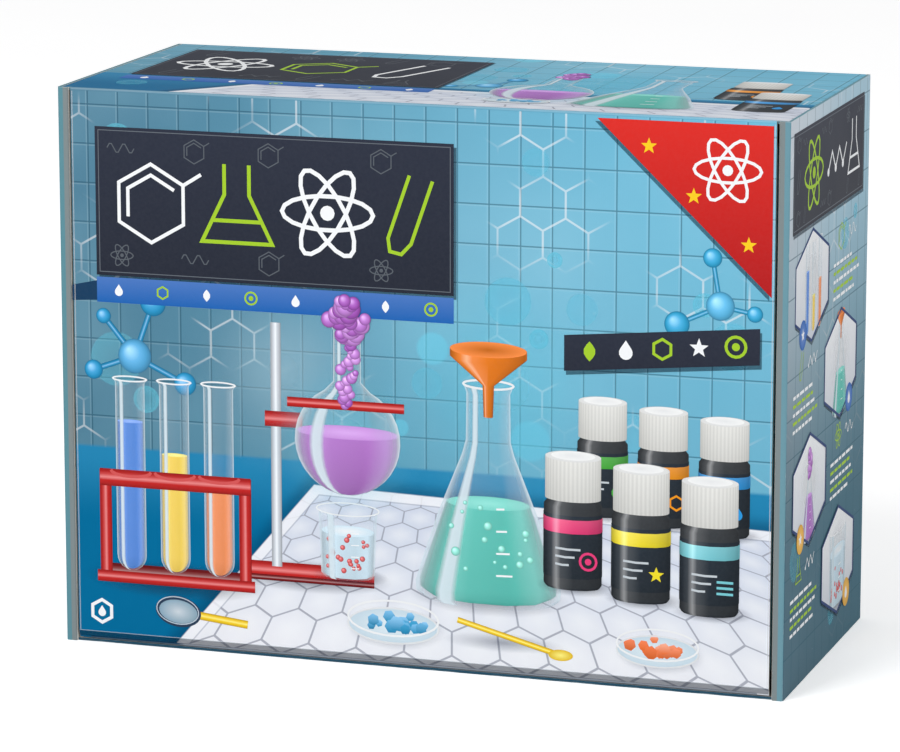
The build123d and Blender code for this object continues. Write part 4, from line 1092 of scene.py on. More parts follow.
def front_print():
    sheet = Sheet("front_print", "front")
    bokeh(sheet, [(32, 262, 9, 0.4), (48, 244, 5, 0.5), (252, 262, 7, 0.3), (238, 192, 12, 0.34), (254, 174, 5, 0.5),
                  (352, 176, 12, 0.3), (338, 196, 6, 0.45), (30, 150, 14, 0.28), (46, 130, 7, 0.4), (196, 148, 8, 0.3),
                  (262, 214, 4, 0.5), (276, 190, 8, 0.24), (300, 130, 10, 0.25)])
    sheet.glow(236, 150, 74, CYAN_GLOW, 0.42)
    sheet.glow(120, 150, 56, tint(196, 236, 250), 0.35)
    molecule(sheet, 40, 152, 1.0, tint(40, 158, 212), [(70, 30, 7), (-25, 30, 6), (200, 24, 5), (130, 26, 4)])
    molecule(sheet, 346, 196, 0.8, tint(52, 172, 220), [(100, 30, 6), (205, 30, 8), (350, 22, 5)])
    ribbon = [(6.5, 179), (6.5, 187), (20, 190), (20, 180)]
    sheet.fill(ribbon, tint(18, 58, 92))
    chalk_board(sheet, 20, 193, 190, 76, 5, [("ring", 30, 20, WHITE), ("flask", 76, 22, LIME), ("atom", 124, 24, WHITE), ("tube", 166, 20, LIME)])
    sign_strip(sheet, 20, 179, 190, 13)
    badge(sheet, 371.5, 285.5, 84)
    ring_stand(sheet, 116, 44, 130)
    beaker(sheet, 154, 46, 0.86, tint(222, 44, 40), 17)
    round_flask(sheet, 154, 116, 1.0, VIOLET)
    bar(sheet, (122, 134), (184, 134), 5, RED)
    froth(sheet, 154, 134, 15, 42, VIOLET, 3, 30)
    froth(sheet, 154, 168, 26, 20, VIOLET, 4, 34)
    cone_flask(sheet, 228, 40, 1.42, TEAL_LIQUID, 0.62)
    sheet.at()
    draw = random.Random(8)
    for _ in range(16):
        sheet.ball(228 + draw.uniform(-22, 22), 54 + draw.uniform(0, 36), draw.uniform(0.9, 2.4), tint(150, 236, 220))
    sheet.at(228, 149, 1.0)
    sheet.turned([(-16, 2.4), (0, 3), (14, 20), (18, 20)], lit(ORANGE, 0.8), ORANGE, SOLID)
    sheet.disc(0, 18, 20, lit(ORANGE, 1.1), lit(ORANGE, 0.62), 0.2)
    sheet.at()
    rear = (tint(70, 170, 60), "leaf"), (tint(240, 150, 20), "hexagon"), (tint(40, 150, 220), "drop")
    for i, (band, sign) in enumerate(rear):
        bottle(sheet, 287 + 31 * i, 88 - 3 * i, 0.86, band, sign)
    near = (tint(230, 60, 120), "ring"), (tint(240, 220, 40), "star"), (tint(120, 200, 210), "bars")
    for i, (band, sign) in enumerate(near):
        bottle(sheet, 272 + 35 * i, 50 - 4 * i, 1.0, band, sign)
    tube_rack(sheet, 20, 36, 1.0, [(BLUE_LIQUID, 78), (YELLOW, 62), (ORANGE, 46)])
    hand_lens(sheet, 62, 20, 1.0, -6)
    dish(sheet, 178, 22, 24, tint(20, 150, 200), 12)
    dish(sheet, 316, 20, 21, tint(236, 110, 40), 4)
    sheet.disc(236, 18, 32, tint(120, 130, 150, 0.0), tint(90, 100, 120, 0.4), 0.16)
    bar(sheet, (212, 28), (262, 15), 3.0, YELLOW)
    sheet.disc(266, 14, 6.4, lit(YELLOW, 0.8), lit(YELLOW, 1.4), 0.45)
    sheet.fill([(268, 157), (367, 166), (367, 184), (268, 175)], tint(14, 40, 60, 0.5))
    sheet.fill([(267, 159), (366, 168), (366, 186), (267, 177)], lit(SLATE, 0.75), SLATE)
    for i, sign in enumerate(("leaf", "drop", "hexagon", "star", "ring")):
        mark(sheet, sign, 280 + 18.5 * i, 169.5 + 1.7 * i, 5.0, LIME if i % 2 == 0 else WHITE)
    mark(sheet, "hexagon", 20, 17, 6.0, WHITE)
    mark(sheet, "drop", 20, 17, 3.0, WHITE)
    lid_low, lid_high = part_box("lid_panel")
    left, right = (lid_low.x - case_low.x) / MM, (lid_high.x - case_low.x) / MM
    # a faint white line down each side edge of the lid: painted highlight where the edge catches the light
    for edge in (left + 0.7, right - 0.7):
        sheet.stroke([(edge, 6.4), (edge, HEIGHT - 1.6)], 0.45, faded(WHITE, 0.4))
    sheet.finish("lid")


def side_print(face, seed):
    """A narrow face: chalk panel over a zigzag of framed pictures, each with small signs beside it."""
    sheet = Sheet(f"{face}_print", face)
    wide = DEPTH

    def along(spot):
        """A place along the face, counted from its front edge."""
        return spot if face == "right" else wide - spot

    bokeh(sheet, [(along(118), 214, 8, 0.35), (along(140), 222, 4, 0.45), (along(20), 66, 10, 0.25),
                  (along(100), 20, 6, 0.35)])
    near = min(along(6), along(156))
    large = [("atom", 42, 19, LIME), ("chain", 92, 15, WHITE), ("flask", 128, 15, WHITE)]
    chalk_board(sheet, near, 231, 150, 50, seed, large)

    def tubes(x, y):
        tube(sheet, x - 10, y - 24, 0.46, BLUE_LIQUID, 70)
        tube(sheet, x + 3, y - 24, 0.46, YELLOW, 40)
        tube(sheet, x + 16, y - 24, 0.46, ORANGE, 54)

    def cone(x, y):
        cone_flask(sheet, x, y - 25, 0.62, TEAL_LIQUID, 0.6)
        sheet.at(x, y + 19, 0.4)
        sheet.turned([(-16, 2.4), (0, 3), (14, 20), (18, 20)], lit(ORANGE, 0.8), ORANGE, SOLID)
        sheet.disc(0, 18, 20, lit(ORANGE, 1.1), lit(ORANGE, 0.62), 0.2)
        sheet.at()

    def boiling(x, y):
        cone_flask(sheet, x, y - 25, 0.5, VIOLET, 0.8)
        froth(sheet, x, y + 6, 13, 14, VIOLET, seed, 26)

    def beads(x, y):
        beaker(sheet, x, y - 22, 1.0, tint(222, 44, 40), seed + 2)

    badge_tones = (SIGN_BLUE, SIGN_BLUE, tint(226, 170, 50), tint(226, 170, 50))
    signs = ("ring", "wave"), ("tube", "chain"), ("atom", "wave"), ("flask", "chain")
    for i, (picture, tone, pair) in enumerate(zip((tubes, cone, boiling, beads), badge_tones, signs)):
        x, y = along(48 if i % 2 == 0 else 112), 200 - 51.5 * i
        hex_picture(sheet, x, y, 28, lambda: picture(x, y), 1.42)
        sheet.disc(along(30 if i % 2 == 0 else 132), y - 22, 7.5, tone, lit(tone, 1.3))
        mark(sheet, "drop" if i % 2 else "star", along(30 if i % 2 == 0 else 132), y - 22, 3.4, WHITE)
        beside = along(122 if i % 2 == 0 else 40)
        chalk_drawing(sheet, pair[0], beside - 12, y + 14, 7, LIME)
        chalk_drawing(sheet, pair[1], beside + 12, y + 14, 7, WHITE)
        rules(sheet, beside - 28, y + 1, 56, 5, seed + i)
    sheet.finish("root")


def top_print():
    """The long top: the same kit, seen in a low strip."""
    sheet = Sheet("top_print", "top")
    bokeh(sheet, [(200, 128, 9, 0.35), (212, 108, 5, 0.5), (190, 96, 12, 0.3), (30, 26, 8, 0.3)])
    sheet.glow(264, 96, 60, CYAN_GLOW, 0.4)
    molecule(sheet, 206, 70, 0.8, tint(40, 158, 212), [(70, 30, 7), (-35, 26, 6), (200, 24, 5)])
    chalk_board(sheet, 18, 54, 166, 96, 11, [("atom", 34, 26, WHITE), ("ring", 86, 20, LIME), ("tube", 134, 24, WHITE)])
    sign_strip(sheet, 18, 38, 166, 13)
    round_flask(sheet, 238, 56, 0.94, VIOLET)
    froth(sheet, 238, 104, 20, 20, VIOLET, 6, 30)
    cone_flask(sheet, 292, 22, 1.2, TEAL_LIQUID, 0.6)
    for i, (band, sign) in enumerate(((tint(240, 150, 20), "hexagon"), (tint(40, 150, 220), "drop"))):
        bottle(sheet, 338 + 18 * i, 62 - 34 * i, 0.9, band, sign)
    dish(sheet, 234, 24, 17, tint(20, 150, 200), 12)
    sheet.finish("root")


def back_print():
    """The back: six framed steps under a chalk panel."""
    sheet = Sheet("back_print", "back")
    bokeh(sheet, [(24, 150, 9, 0.3), (356, 46, 12, 0.3), (200, 22, 8, 0.3), (190, 180, 10, 0.25)])
    drawings = ("atom", "flask", "ring", "tube", "chain", "atom")
    large = [(kind, 34 + 52 * i, 17, LIME if i % 2 else WHITE) for i, kind in enumerate(drawings)]
    chalk_board(sheet, 30, 208, 320, 60, 21, large)
    sign_strip(sheet, 30, 194, 320, 11)

    def step(i, x, y):
        if i == 0:
            tube(sheet, x - 12, y - 26, 0.5, BLUE_LIQUID, 66)
            tube(sheet, x + 8, y - 26, 0.5, YELLOW, 40)
        elif i == 1:
            cone_flask(sheet, x, y - 26, 0.68, TEAL_LIQUID, 0.6)
        elif i == 2:
            bottle(sheet, x, y - 24, 0.74, tint(240, 150, 20), "hexagon")
        elif i == 3:
            round_flask(sheet, x, y - 8, 0.62, VIOLET)
        elif i == 4:
            beaker(sheet, x, y - 24, 1.05, tint(222, 44, 40), 5)
        else:
            dish(sheet, x, y - 4, 24, tint(20, 150, 200), 9)

    for i in range(6):
        x, y = 58 + 53 * i, (140 if i % 2 == 0 else 84)
        hex_picture(sheet, x, y, 34, lambda: step(i, x, y))
    for i in range(5):
        x, y, slope = 84.5 + 53 * i, 112, -1 if i % 2 == 0 else 1
        sheet.stroke([(x - 4, y - 4 * slope), (x + 4, y + 4 * slope)], 2.4, LIME)
    tube_rack(sheet, 24, 14, 0.5, [(BLUE_LIQUID, 78), (YELLOW, 62), (ORANGE, 46)])
    rules(sheet, 112, 36, 110, 5, 7)
    for i, sign in enumerate(("leaf", "drop", "hexagon", "star", "ring")):
        mark(sheet, sign, 250 + 22 * i, 26, 6.5, WHITE if i % 2 else LIME)
    sheet.finish("root")


front_print()
side_print("right", 31)
side_print("left", 47)
top_print()
back_print()

# ---- carton ----
seat("lid_panel", printed_board("lid_board", ["front"], thick=(0, -1, 0)))
seat("back_panel", printed_board("back_board", ["back"], ["left", "right", "top", "bottom"], (0, 1, 0)))
seat("top_wall", printed_board("top_board", ["top"], ["front"], (0, 0, 1)))
# the bottom wall's front strip is painted dark: painted shade under the lid's foot
seat("bottom_wall", printed_board("bottom_board", ["bottom"], ["front"], (0, 0, -1), STRIP_FOOT_SHADED))
seat("left_side_wall", printed_board("left_board", ["left"], ["front", "top", "bottom"], None, STRIP_LEFT, True))
seat("right_side_wall", printed_board("right_board", ["right"], ["front", "top", "bottom"], rolled=True))
seat("corner_flaps", flap_board("corner_flap_board", (1, 0, 0), 0.0))
seat("lid_tuck_flap", flap_board("tuck_flap_board", (0, 0, -1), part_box("lid_tuck_flap")[0].z))
seat("lid_left_ear", flap_board("left_ear_board", (-1, 0, 0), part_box("lid_left_ear")[0].x))
seat("lid_right_ear", flap_board("right_ear_board", (1, 0, 0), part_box("lid_right_ear")[1].x))

# ---- creases: the coated paper that bends between two panels ----
def crease_skin(name, path, half, bodies, paint, straight=0, ink_material=solid_ink):
    """A strip of board skin over a fold, or along one body. path holds (Y, Z) from the first body to the second.

    straight counts points at each end of the path; the two end points it picks are not used, and a skin between two
    bodies is bound to neither. paint gives a colour from X in metres and the share along the path.
    """
    mesh = bmesh.new()
    ink = mesh.loops.layers.float_color.new("ink")
    rows = len(path) - 1
    made = bmesh.ops.create_grid(mesh, x_segments=96, y_segments=rows, size=1)
    colours = {}
    for vert in made["verts"]:
        row = round((vert.co.y + 1) / 2 * rows)
        vert.co = (vert.co.x * half, path[row][0], path[row][1])
        colours[vert] = paint(vert.co.x, row / rows)
    for face in mesh.faces:
        for loop in face.loops:
            loop[ink] = colours[loop.vert]
    data = bpy.data.meshes.new(name)
    mesh.to_mesh(data)
    mesh.free()
    data.materials.append(ink_material)
    piece = bpy.data.objects.new(name, data)
    bpy.context.scene.collection.objects.link(piece)
    if len(bodies) == 1:
        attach(piece, *bodies)
    else:
        start, end = (Vector((0, *path[i])) for i in (straight, -1 - straight))
        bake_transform(piece)
        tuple(start)
        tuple(end)


def arc_path(corner, one, two, radius, proud, steps=14):
    """Points round a fold: from the face that leaves the corner along one to the face that leaves it along two."""
    corner, one, two = Vector(corner), Vector(one).normalized(), Vector(two).normalized()
    half = one.angle(two) / 2
    centre = corner + (one + two).normalized() * (radius / math.sin(half))
    first = corner + one * (radius / math.tan(half)) - centre
    last = corner + two * (radius / math.tan(half)) - centre
    turn = first.angle_signed(last)
    points = [centre + Matrix.Rotation(-turn * i / steps, 2) @ first * (1 + proud / radius) for i in range(steps + 1)]
    return [tuple(point) for point in points]


def top_tone(x, share):
    """The wall's tone along the top crease, paler along the middle of the fold: painted highlight on the rounded
    crease.
    """
    tone = mixed(WALL_DARK, WALL_LIGHT, 0.5 + x / (WIDTH * MM))
    return mixed(tone, tint(196, 214, 222), 0.28 * (1 - abs(2 * share - 1)))


def band_tone(x, share):
    """A see-through glaze over the lid's turned-in foot: a painted highlight along its crease, then painted shade."""
    if share < 0.1:
        return faded(WHITE, 0.0)
    return faded(tint(222, 234, 240), 0.5) if share < 0.3 else faded(tint(6, 34, 54), 0.42)


def foot_tone(x, share):
    """The fold under the lid: bench, then mat, painted darker as painted shade under the lid, paler along the fold
    (partly rubbed ink, partly painted highlight).
    """
    on_bench = (x - case_low.x) / MM < MAT_START + 4
    # these bench and mat tones are darker than the print: painted shade where the fold turns under the lid
    tone = tint(10, 62, 94) if on_bench else tint(142, 148, 160)
    return mixed(tone, tint(190, 204, 210), 0.35 * max(0, 1 - abs(share - 0.4) * 5))


def liner_tone(x, share):
    # darker towards the middle of the fold: painted shade in the fold's inner corner
    return mixed(tint(220, 217, 211), tint(196, 192, 184), 1 - abs(2 * share - 1))


lid_low, lid_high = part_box("lid_panel")
lid_half = lid_high.x - 0.0001
proud = 0.00006
skin = arc_path((case_low.y, case_high.z), (1, 0), (0, -1), CREASE * MM, proud)
crease_skin("top_crease_skin", skin, lid_half, ("root", "lid"), top_tone)
lining = [(case_low.y + (BOARD + d) * MM, case_high.z - (BOARD + e) * MM) for d, e in
          ((3.0, 0.06), (1.6, 0.06), (0.8, 0.08), (0.3, 0.14), (0.14, 0.3), (0.08, 0.8), (0.06, 1.6), (0.06, 3.0))]
crease_skin("top_crease_lining", lining, lid_half, ("root", "lid"), liner_tone)

# the lid's foot: its lower edge turns in a little, then folds on into the tuck flap
foot_band = Vector((FOOT_TURN, -FOOT_BAND)) * MM
foot_corner = Vector((case_low.y, FOOT_LEVEL * MM)) + foot_band
lean = Vector((math.cos(FLAP_LEAN), math.sin(FLAP_LEAN)))
bend = arc_path(foot_corner, -foot_band, lean, CREASE * MM, proud)
out_of_band = Vector((-FOOT_BAND, -FOOT_TURN)).normalized() * proud
crease = Vector((case_low.y, FOOT_LEVEL * MM)) + out_of_band
band = [crease + Vector((0, 0.0006)), crease + Vector((0, 0.0002)), crease, crease + foot_band * 0.1]
band += [crease + foot_band * share for share in (0.4, 0.74)]
crease_skin("foot_band", [tuple(p) for p in band], lid_half, ("lid",), band_tone, ink_material=glaze_ink)
run_in = [Vector(bend[0]) - foot_band.normalized() * reach * MM for reach in (0.4, 0.2)]
run_out = [Vector(bend[-1]) + lean * reach * MM for reach in (1.5, 4.0)]
foot = [tuple(point) for point in (*run_in, *bend, *run_out)]
crease_skin("foot_crease_skin", foot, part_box("lid_tuck_flap")[1].x - 0.0001, ("lid", "tuck_flap"), foot_tone, 2)


# ---- kit materials ----
def plastic(name, colour, rough=0.32, scale=40.0, waviness=0.00002, see_through=0.0, coat=0.0, thin=0.0):
    """A moulded plastic: faint sink marks, uneven gloss and a little dust.

    thin is the share of light that goes straight through a thin clear wall, seen square on.
    """
    made, tree, shader = blank(name)
    coords = tree.nodes.new("ShaderNodeTexCoord")
    surface = use(tree, moulded, coords.outputs["Object"], scale)
    body = mix(tree, maths(tree, "MULTIPLY", surface[0], 0.18), colour, lit(colour, 0.72))
    dusty = mix(tree, maths(tree, "MULTIPLY", surface[1], 0.06), body, tint(200, 200, 196))
    feed(tree, shader.inputs["Base Color"], dusty)
    uneven = maths(tree, "MULTIPLY_ADD", surface[0], 0.1, rough - 0.05)
    feed(tree, shader.inputs["Roughness"], maths(tree, "MULTIPLY_ADD", surface[1], 0.12, uneven))
    shader.inputs["IOR"].default_value = 1.5
    shader.inputs["Transmission Weight"].default_value = see_through
    shader.inputs["Coat Weight"].default_value = coat
    if thin:
        facing = tree.nodes.new("ShaderNodeLayerWeight").outputs["Facing"]
        edge = maths(tree, "POWER", facing, 2.4)
        feed(tree, shader.inputs["Alpha"], maths(tree, "MULTIPLY_ADD", edge, thin - 0.25, 1.0 - thin))
    relief(tree, shader, surface[0], waviness)
    return made


def clear_plastic(name, rough=0.08):
    return plastic(name, CLEAR_TONE, rough, 60.0, 0.00001, thin=0.9)


def ribbed_caps():
    """The white of the screw caps, with painted shade in the grooves between their ribs."""
    made = plastic("cap_plastic", CAP_WHITE, 0.36)
    tree = made.node_tree
    shader = next(n for n in tree.nodes if n.type == "BSDF_PRINCIPLED")
    base = shader.inputs["Base Color"].links[0].from_socket
    coords = next(n for n in tree.nodes if n.type == "TEX_COORD").outputs
    low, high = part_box("bottle_cap_1")
    radius, pitch = (high.x - low.x) / 2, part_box("bottle_cap_2")[0].x - low.x
    at = vectors(tree, "SUBTRACT", coords["Object"], ((low.x + high.x) / 2, (low.y + high.y) / 2, 0.0))
    at = node(tree, "ShaderNodeVectorMath", at, (pitch / 2, 1.0, 1.0), (-pitch / 2, -1.0, -1.0), operation="WRAP")
    reach = vectors(tree, "LENGTH", vectors(tree, "MULTIPLY", at, (1.0, 1.0, 0.0)))
    deep = maths(tree, "SUBTRACT", 1.0, ramp(tree, reach, radius - 0.5 * MM, radius - 0.05 * MM))
    upright = maths(tree, "LESS_THAN", maths(tree, "ABSOLUTE", parts_of(tree, coords["Normal"])[2]), 0.5)
    # grey in the grooves: painted shade between the ribs
    groove_shade = maths(tree, "MULTIPLY", maths(tree, "MULTIPLY", deep, upright), 0.55)
    feed(tree, shader.inputs["Base Color"], mix(tree, groove_shade, base, tint(120, 122, 120)))
    return made


def graduated(name, node_name, pitch, low, high, reach):
    """Clear moulded plastic with printed level marks round the front of a vessel."""
    made = clear_plastic(name)
    tree = made.node_tree
    shader = next(n for n in tree.nodes if n.type == "BSDF_PRINCIPLED")
    base = shader.inputs["Base Color"].links[0].from_socket
    place = next(n for n in tree.nodes if n.type == "TEX_COORD").outputs["Object"]
    box_low, box_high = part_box(node_name)
    middle = (box_low + box_high) / 2
    at = parts_of(tree, vectors(tree, "SUBTRACT", place, (middle.x, middle.y, box_low.z)))
    angle = maths(tree, "ARCTAN2", at[0], maths(tree, "MULTIPLY", at[1], -1.0))
    step = maths(tree, "PINGPONG", at[2], pitch / 2)
    line = maths(tree, "LESS_THAN", step, 0.00025)
    fifth = maths(tree, "LESS_THAN", maths(tree, "PINGPONG", at[2], pitch * 2.5), 0.00035)
    wide = maths(tree, "MULTIPLY_ADD", fifth, 0.16, reach)
    front = maths(tree, "LESS_THAN", maths(tree, "ABSOLUTE", maths(tree, "SUBTRACT", angle, 0.1)), wide)
    between = maths(tree, "MULTIPLY", maths(tree, "GREATER_THAN", at[2], low), maths(tree, "LESS_THAN", at[2], high))
    inked = maths(tree, "MULTIPLY", maths(tree, "MULTIPLY", line, front), between)
    feed(tree, shader.inputs["Base Color"], mix(tree, inked, base, tint(20, 60, 120)))
    share = shader.inputs["Alpha"].links[0].from_socket
    feed(tree, shader.inputs["Alpha"], maths(tree, "MAXIMUM", share, maths(tree, "MULTIPLY", inked, 0.9)))
    return made


def powder_fills():
    """Coloured powders, and inks in the dropper bottles, told apart by their place in the row."""
    made, tree, shader = blank("powder_fills")
    coords = tree.nodes.new("ShaderNodeTexCoord")
    place = coords.outputs["Object"]
    low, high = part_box("bottle_contents")
    share = maths(tree, "DIVIDE", maths(tree, "SUBTRACT", parts_of(tree, place)[0], low.x), high.x - low.x)
    bands = tree.nodes.new("ShaderNodeValToRGB")
    bands.color_ramp.interpolation = "CONSTANT"
    tones = [tint(236, 236, 230), tint(60, 140, 200), tint(232, 222, 190), tint(220, 110, 60), tint(214, 200, 224),
             tint(110, 170, 90), tint(30, 90, 190), tint(200, 40, 40)]
    rooms = [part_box(f"bottle_{i}") for i in range(1, 7)] + [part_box(f"dropper_{i}") for i in (1, 2)]
    while len(bands.color_ramp.elements) < len(tones):
        bands.color_ramp.elements.new(0.5)
    for element, tone, room in zip(bands.color_ramp.elements, tones, rooms):
        element.position = max(0.0, (room[0].x - low.x) / (high.x - low.x))
        element.color = tone
    feed(tree, bands.inputs[0], share)
    grain = noise(tree, place, 1800.0, 4.0)
    colour = mix(tree, maths(tree, "MULTIPLY", grain, 0.35), bands.outputs[0], tint(250, 250, 246))
    feed(tree, shader.inputs["Base Color"], colour)
    shader.inputs["Roughness"].default_value = 0.9
    relief(tree, shader, grain, 0.0003)
    return made


def card(name, tone):
    """Uncoated white card with fibres and soft pressed patches."""
    made, tree, shader = blank(name)
    coords = tree.nodes.new("ShaderNodeTexCoord")
    place = coords.outputs["Object"]
    fibre = use(tree, paper_fibre, place)
    colour = mix(tree, ramp(tree, fibre[0], 0.3, 0.7), lit(tone, 0.9), tone)
    flecks = ramp(tree, noise(tree, place, 1500.0, 2.0), 0.66, 0.74)
    feed(tree, shader.inputs["Base Color"], mix(tree, maths(tree, "MULTIPLY", flecks, 0.3), colour, tint(150, 140, 124)))
    feed(tree, shader.inputs["Roughness"], maths(tree, "MULTIPLY_ADD", fibre[0], 0.12, 0.8))
    relief(tree, shader, fibre[1], 0.00006)
    return made


def booklet_paper():
    """A stapled booklet: a printed cover, and at the edges the fine lines of its pages, with painted shade in the gaps
    between them.
    """
    made, tree, shader = blank("booklet_cover")
    coords = tree.nodes.new("ShaderNodeTexCoord")
    place, facing = coords.outputs["Object"], coords.outputs["Normal"]
    low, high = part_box("instruction_booklet")
    span = (high - low) / MM
    at = parts_of(tree, scaled(tree, vectors(tree, "SUBTRACT", place, tuple(low)), 1 / MM))
    cover = use(
        tree, printed_ground, joined(tree, at[0], at[2]), (span.x, span.z, 1.0), WALL_DARK, WALL_LIGHT, 0.2, 70.0
    )[0]
    flat = maths(tree, "GREATER_THAN", maths(tree, "ABSOLUTE", parts_of(tree, facing)[1]), 0.6)
    # the darker lines between the pages' edges are painted shade in the gaps between the sheets
    pages = mix(tree, maths(tree, "PINGPONG", at[1], 0.12), tint(170, 168, 160), tint(240, 240, 234))
    feed(tree, shader.inputs["Base Color"], mix(tree, flat, pages, cover))
    feed(tree, shader.inputs["Roughness"], maths(tree, "MULTIPLY_ADD", noise(tree, place, 40.0), 0.1, 0.35))
    relief(tree, shader, noise(tree, place, 30.0, 2.0), 0.00015)
    return made


def bottle_label(number, band, sign):
    """A dark label round a bottle, with a coloured band, a sign and plain rules."""
    low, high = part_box(f"bottle_{number}")
    middle = (low + high) / 2
    radius = (high.x - low.x) / 2 / MM + 0.12
    sheet = Sheet(f"bottle_label_{number}", round_about=(Vector((middle.x, middle.y, low.z)), radius))
    half = math.pi * radius * 0.94

    def wrap(foot, top, tone, reach=half, start=0.0):
        sheet.patch(36, 1, lambda u, v: (start + u * reach, foot + (top - foot) * v), lambda u, v: tone)

    wrap(6, 39, tint(32, 40, 48))
    wrap(31, 37, band)
    wrap(29.6, 30.1, tint(200, 206, 212))
    for row in range(4):
        wrap(24 - 3.2 * row, 25 - 3.2 * row, tint(180, 188, 196), 5.0 - 0.9 * row, -8.0)
    mark(sheet, sign, 7, 18, 4.4, band)
    for turn in (-1, 1):
        for row in range(5):
            wrap(13 + 3.0 * row, 13.8 + 3.0 * row, tint(120, 130, 140), 8.0 - row, turn * 30.0)
    sheet.finish("root")


CLEAR_TONE = tint(232, 243, 248)
clear = clear_plastic("clear_plastic")
red = plastic("red_plastic", tint(204, 22, 24), 0.14, 50.0, 0.00003, 0.3, 0.4)
blue = plastic("blue_plastic", tint(24, 96, 190), 0.25)
seats = {
    red: ["lab_frame", "tube_rack"],
    plastic("sleeve_plastic", tint(214, 40, 30), 0.3): ["tower_sleeves"],
    ribbed_caps(): [f"bottle_cap_{i}" for i in range(1, 7)],
    plastic("white_plastic", CAP_WHITE, 0.36): ["side_clip"],
    plastic("milky_bottle", tint(240, 244, 244), 0.3, 40.0, 0.00002, 0.5): ["dosing_bottle"],
    plastic("green_plastic", tint(92, 186, 50), 0.28): ["dosing_cap"],
    plastic("orange_plastic", ORANGE, 0.24): ["orange_funnel"],
    plastic("orange_rubber", tint(226, 96, 30), 0.55): ["dropper_cap_1"],
    plastic("blue_rubber", tint(30, 90, 180), 0.55): ["dropper_cap_2"],
    plastic("purple_plastic", tint(120, 50, 160), 0.24): ["purple_funnel", "tube_stopper"],
    clear: ["lab_tank", "petri_dish", "petri_lid"] + [f"bottle_{i}" for i in range(1, 7)] + ["dropper_1", "dropper_2"],
    clear_plastic("visor_plastic", 0.04): ["goggles_visor"],
    clear_plastic("lens_glass", 0.03): ["magnifier_lens"],
    blue: ["goggles_left_temple", "goggles_right_temple", "magnifier_frame"],
    plastic("milky_pipette", tint(238, 240, 238), 0.4, 60.0, 0.00002, 0.6): ["pipette"],
    plastic("yellow_plastic", YELLOW, 0.3): ["spatula"],
    card("shelf_card", tint(232, 230, 225)): [
        "insert_left_board", "insert_right_board", "floor_board", "middle_shelf", "upper_shelf", "lower_divider",
        "upper_divider"],
    powder_fills(): ["bottle_contents"],
    booklet_paper(): ["instruction_booklet"],
    graduated("beaker_plastic", "beaker", 0.004, 0.012, 0.062, 0.16): ["beaker"],
    graduated("flask_plastic", "flask", 0.004, 0.01, 0.056, 0.14): ["flask"],
}
for material, names in seats.items():
    for name in names:
        seat(name, material)
for number in range(1, 5):
    name = f"test_tube_{number}"
    seat(name, graduated(f"{name}_plastic", name, 0.005, 0.014, 0.088, 0.35))
LABELS = [(tint(230, 60, 120), "ring"), (tint(240, 150, 20), "hexagon"), (tint(70, 170, 60), "leaf"),
          (tint(240, 220, 40), "star"), (tint(40, 150, 220), "drop"), (tint(120, 200, 210), "bars")]
for number, (band, sign) in enumerate(LABELS, 1):
    bottle_label(number, band, sign)


# ---- stage, light and camera ----
FLOOR_LIFT = 0.42  # white that the camera sees on top of the lit floor


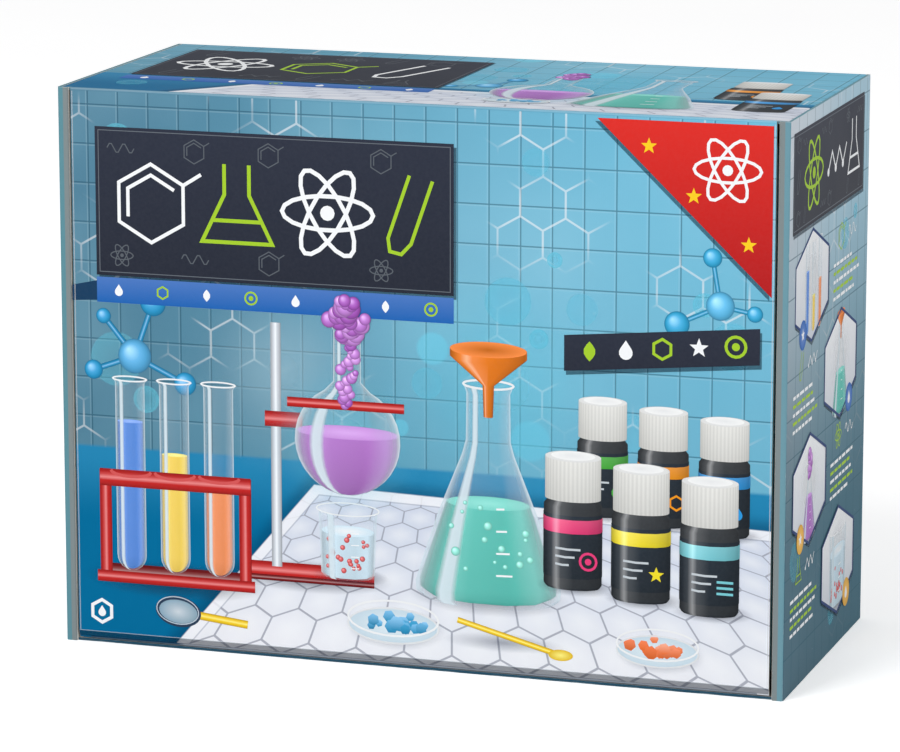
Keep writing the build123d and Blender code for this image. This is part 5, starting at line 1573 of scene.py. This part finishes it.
def stage_floor():
    made, tree, shader = blank("floor_paper")
    coords = tree.nodes.new("ShaderNodeTexCoord")
    shade = noise(tree, coords.outputs["Object"], 3.0, 2.0)
    colour = mix(tree, shade, tint(246, 246, 247), tint(250, 250, 250))
    feed(tree, shader.inputs["Base Color"], colour)
    shader.inputs["Roughness"].default_value = 0.8
    shader.inputs["Specular IOR Level"].default_value = 0.1
    path = tree.nodes.new("ShaderNodeLightPath")
    seen = maths(tree, "MAXIMUM", path.outputs["Is Camera Ray"], path.outputs["Is Glossy Ray"])
    seen = maths(tree, "MAXIMUM", seen, path.outputs["Is Transmission Ray"])
    shader.inputs["Emission Color"].default_value = (1, 1, 1, 1)
    feed(tree, shader.inputs["Emission Strength"], maths(tree, "MULTIPLY", seen, FLOOR_LIFT))
    mesh = bmesh.new()
    bmesh.ops.create_grid(mesh, x_segments=1, y_segments=1, size=6)
    data = bpy.data.meshes.new("floor")
    mesh.to_mesh(data)
    mesh.free()
    data.materials.append(made)
    floor = bpy.data.objects.new("floor", data)
    bpy.context.scene.collection.objects.link(floor)
    floor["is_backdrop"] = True


def world_light(ambient):
    world = bpy.data.worlds.new("studio")
    bpy.context.scene.world = world
    world.use_nodes = True
    tree = world.node_tree
    tree.nodes.clear()
    path = tree.nodes.new("ShaderNodeLightPath")
    seen = maths(tree, "MAXIMUM", path.outputs["Is Camera Ray"], path.outputs["Is Transmission Ray"])
    strength = maths(tree, "MULTIPLY_ADD", seen, 1.0 - ambient, ambient)
    backdrop = tree.nodes.new("ShaderNodeBackground")
    feed(tree, backdrop.inputs["Strength"], strength)
    end = tree.nodes.new("ShaderNodeOutputWorld")
    tree.links.new(backdrop.outputs[0], end.inputs[0])
    backdrop.inputs["Color"].default_value = (1, 1, 1, 1)


def lamp(name, place, target, size, power):
    data = bpy.data.lights.new(name, "AREA")
    data.size = size
    data.energy = power
    made = bpy.data.objects.new(name, data)
    made.location = place
    made.rotation_euler = (Vector(target) - Vector(place)).to_track_quat("-Z", "Y").to_euler()
    bpy.context.scene.collection.objects.link(made)


def place_camera():
    level = math.cos(VIEW_ELEVATION)
    away = Vector((math.sin(VIEW_AZIMUTH) * level, -math.cos(VIEW_AZIMUTH) * level, math.sin(VIEW_ELEVATION)))
    data = bpy.data.cameras.new("camera")
    data.lens = VIEW_LENS
    data.clip_end = 50
    camera = bpy.data.objects.new("camera", data)
    camera.location = VIEW_AIM + away * VIEW_DISTANCE
    camera.rotation_euler = (-away).to_track_quat("-Z", "Y").to_euler()
    bpy.context.scene.collection.objects.link(camera)
    bpy.context.scene.camera = camera


stage_floor()
world_light(0.5)
lamp("key", (-1.2, -2.4, 2.4), (0, 0, 0.1), 1.6, 60)
lamp("fill", (2.6, -1.2, 1.2), (0, 0, 0.15), 1.6, 16)
place_camera()
bpy.context.scene.view_settings.view_transform = "Standard"

[[list(corner) for corner in box] for box in (cad_box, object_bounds())]
